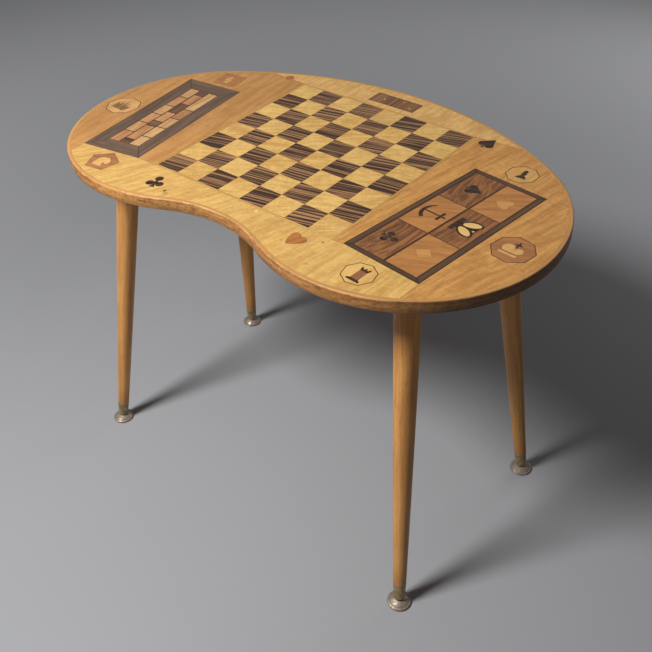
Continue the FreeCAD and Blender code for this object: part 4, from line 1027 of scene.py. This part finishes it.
def threaded_rod(length, place):
    """The hanger bolt: a rod with a rolled thread on the end that screws into the plate."""
    shape = bmesh.new()
    low = length - BOLT_HOLD
    high = length + BOLT_REACH
    root = BOLT_RADIUS - THREAD_DEPTH
    core = NEAR_AXIS / 2
    turn_profile(
        shape,
        [(core, low), (BOLT_RADIUS - 1 * MM, low), (BOLT_RADIUS, low + 1 * MM),
         (BOLT_RADIUS, length - 6 * MM), (root, length - 5 * MM), (root, high - 0.6 * MM),
         (root - 0.6 * MM, high), (core, high)],
        SMALL_STEPS,
    )
    steps = 20
    start = length - 4.6 * MM
    ridge = [
        shape.verts.new((radius, 0, start + rise))
        for radius, rise in (
            (root - 0.1 * MM, 0), (BOLT_RADIUS, 0.52 * MM), (BOLT_RADIUS, 0.68 * MM),
            (root - 0.1 * MM, 1.2 * MM),
        )
    ]
    face = shape.faces.new(ridge)
    bmesh.ops.spin(
        shape, geom=[face], cent=ORIGIN, axis=UP, dvec=(0, 0, THREAD_PITCH / steps),
        angle=math.tau * THREAD_TURNS, steps=steps * THREAD_TURNS, use_merge=False,
        use_duplicate=False,
    )
    bmesh.ops.transform(shape, matrix=place, verts=shape.verts)
    return shape


def plate_frame(leg):
    """The leg plate's frame on the underside, with +X the way the leg leans."""
    place, _ = leg_axis(leg)
    ball = place.translation
    along = place.to_3x3() @ UP
    top = ball + along * ((UNDERSIDE - ball.z) / along.z)
    return Matrix.Translation(top) @ Matrix.Rotation(math.atan2(-along.y, -along.x), 4, "Z")


def wood_screw():
    """A countersunk wood screw, head down, with a cross recess. Its origin is on the underside."""
    shape = bmesh.new()
    head = -PLATE_THICKNESS
    turn_profile(
        shape,
        [(3.3 * MM, head), (3.72 * MM, head + 0.08 * MM), (3.78 * MM, head + 0.2 * MM),
         (1.9 * MM, head + 1.8 * MM), (1.9 * MM, head + 12 * MM), (NEAR_AXIS, head + 14.9 * MM)],
        SMALL_STEPS, closed=False,
    )
    rim = [
        edge for edge in shape.edges
        if all(abs(vert.co.z - head) < SAME_PLACE for vert in edge.verts)
    ]
    arm, half = 2.1 * MM, 0.45 * MM
    corners = [(arm, -half), (arm, half), (half, half), (half, arm), (-half, arm), (-half, half),
               (-arm, half), (-arm, -half), (-half, -half), (-half, -arm), (half, -arm),
               (half, -half)]
    depth, taper = 1.4 * MM, 0.55
    mouth = [shape.verts.new((x, y, head)) for x, y in corners]
    floor = [shape.verts.new((x * taper, y * taper, head + depth)) for x, y in corners]
    outline = [shape.edges.new((mouth[n - 1], mouth[n])) for n in range(len(corners))]
    bmesh.ops.triangle_fill(shape, use_beauty=True, edges=rim + outline)
    for n in range(len(corners)):
        shape.faces.new((mouth[n - 1], mouth[n], floor[n], floor[n - 1]))
    shape.faces.new(floor)
    return shape


def wood_screws():
    """All the plates' screws, each turned its own way."""
    one = wood_screw()
    pattern = bpy.data.meshes.new("screw_pattern")
    one.to_mesh(pattern)
    one.free()
    shape = bmesh.new()
    half = SCREW_SPACING / 2
    for leg in LEGS:
        for x, y in ((-half, -half), (-half, half), (half, -half), (half, half)):
            first = len(shape.verts)
            shape.from_mesh(pattern)
            turned = Matrix.Rotation(chance(Vector((x, y, 0)), len(leg)) * math.tau, 4, "Z")
            bmesh.ops.transform(
                shape, matrix=plate_frame(leg) @ Matrix.Translation((x, y, 0)) @ turned,
                verts=shape.verts[first:],
            )
    bpy.data.meshes.remove(pattern)
    finish_piece(
        shape, "wood_screws", "top", [zinc], ["plate_screws"], smooth=30, weld=False
    )


for number, leg in enumerate(LEGS):
    place, length = leg_axis(leg)
    upright = Matrix.Translation(Vector((place.translation.x, place.translation.y, 0)))
    turned_piece(
        f"turned_leg_{leg}", leg_profile(length), place, f"leg_{leg}", leg_wood,
        f"leg_{leg}", seed=0.31 * (number + 1), round_off=0.25 * MM,
    )
    turned_piece(
        f"brass_ferrule_{leg}", FERRULE_PROFILE, place, f"leg_{leg}", ferrule_brass,
        f"ferrule_{leg}", seed=0.17 * (number + 1), round_off=0.15 * MM,
    )
    turned_piece(
        f"brass_foot_{leg}", FOOT_PROFILE, upright, f"foot_{leg}", foot_brass,
        f"glide_disc_{leg}", seed=0.23 * (number + 1), round_off=0.12 * MM,
    )
    finish_piece(
        stud_shape(place), f"ball_stud_{leg}", f"leg_{leg}", [zinc], [f"glide_stud_{leg}"]
    )
    finish_piece(
        threaded_rod(length, place), f"threaded_bolt_{leg}", f"bolt_{leg}", [zinc],
        [f"hanger_bolt_{leg}"],
    )
    refinish(f"glide_socket_{leg}", nylon)
    plate = refinish(f"leg_plate_{leg}", zinc)
    plate.modifiers.new("joined triangles", "WELD").merge_threshold = SAME_PLACE
    soften(plate, 0.25 * MM, angle=40)
wood_screws()


# The studio: pale floor, soft light and the photograph's camera

FLOOR_HALF = 4.0
GREY_WITHIN = 0.7
PALE_BEYOND = 2.3
FAINT_LIGHT = 0.032
BACKDROP = 0.26


def studio_floor():
    """A wide painted floor, greyer round the table, and paler further out as painted light that
    makes up for the lamp's falloff.
    """
    shape = bmesh.new()
    bmesh.ops.create_grid(shape, x_segments=2, y_segments=2, size=FLOOR_HALF)
    mesh = bpy.data.meshes.new("studio_floor")
    shape.to_mesh(mesh)
    shape.free()
    floor = bpy.data.objects.new("studio_floor", mesh)
    bpy.context.scene.collection.objects.link(floor)
    material, tree, shader = new_material("floor paint", (0.7, 0.7, 0.72, 1))
    place = object_place(tree)
    cloud = noise(tree, place, (1.5, 1.5, 1.5), 3.0)
    near = mix_colour(tree, cloud, (0.37, 0.373, 0.388, 1), (0.4, 0.403, 0.418, 1))
    away = add(tree, "VectorMath", {0: place}, operation="LENGTH").outputs["Value"]
    # painted light: the floor paler further out, making up for the lamp's falloff on the far floor
    shade = stain(tree, near, (0.86, 0.863, 0.88, 1), ramp(tree, away, GREY_WITHIN, PALE_BEYOND))
    tree.links.new(shade, shader.inputs["Base Color"])
    shader.inputs["Roughness"].default_value = 0.6
    mesh.materials.append(material)


def soft_lamp(name, place, target, size, power):
    lamp = bpy.data.lights.new(name, "AREA")
    lamp.shape = "DISK"
    lamp.size = size
    lamp.energy = power
    item = bpy.data.objects.new(name, lamp)
    item.location = place
    item.rotation_euler = (Vector(target) - Vector(place)).to_track_quat("-Z", "Y").to_euler()
    bpy.context.scene.collection.objects.link(item)


studio_floor()
soft_lamp("key_lamp", place=(-0.42, -1.12, 1.75), target=(0, 0, 0.4), size=0.5, power=39.5)
soft_lamp("back_lamp", place=(0.3, 2.0, 1.0), target=(0, 0, 0.45), size=1.2, power=4.5)

world = bpy.data.worlds.new("studio")
bpy.context.scene.world = world
world.use_nodes = True
sky_tree = world.node_tree
sky = sky_tree.nodes["Background"]
sky.inputs["Color"].default_value = (0.96, 0.98, 1.0, 1)
# the backdrop is pale where it is seen or mirrored, and lights the table only faintly
ray = add(sky_tree, "LightPath").outputs
seen = calc(sky_tree, "MAXIMUM", ray["Is Camera Ray"], ray["Is Glossy Ray"])
seen = calc(sky_tree, "MAXIMUM", seen, ray["Is Transmission Ray"])
strength = ramp(sky_tree, seen, 0.0, 1.0, FAINT_LIGHT, BACKDROP, smooth=False)
sky_tree.links.new(strength, sky.inputs["Strength"])

lens = bpy.data.cameras.new("camera")
lens.lens = 46.931
lens.sensor_width = 36
camera = bpy.data.objects.new("camera", lens)
camera.location = (0.6910, -0.76535, 1.0681)
camera.rotation_euler = [math.radians(a) for a in (50.319, 2.573, 39.627)]
bpy.context.scene.collection.objects.link(camera)
bpy.context.scene.camera = camera
bpy.context.scene.view_settings.view_transform = "Standard"

bpy.context.view_layer.update()
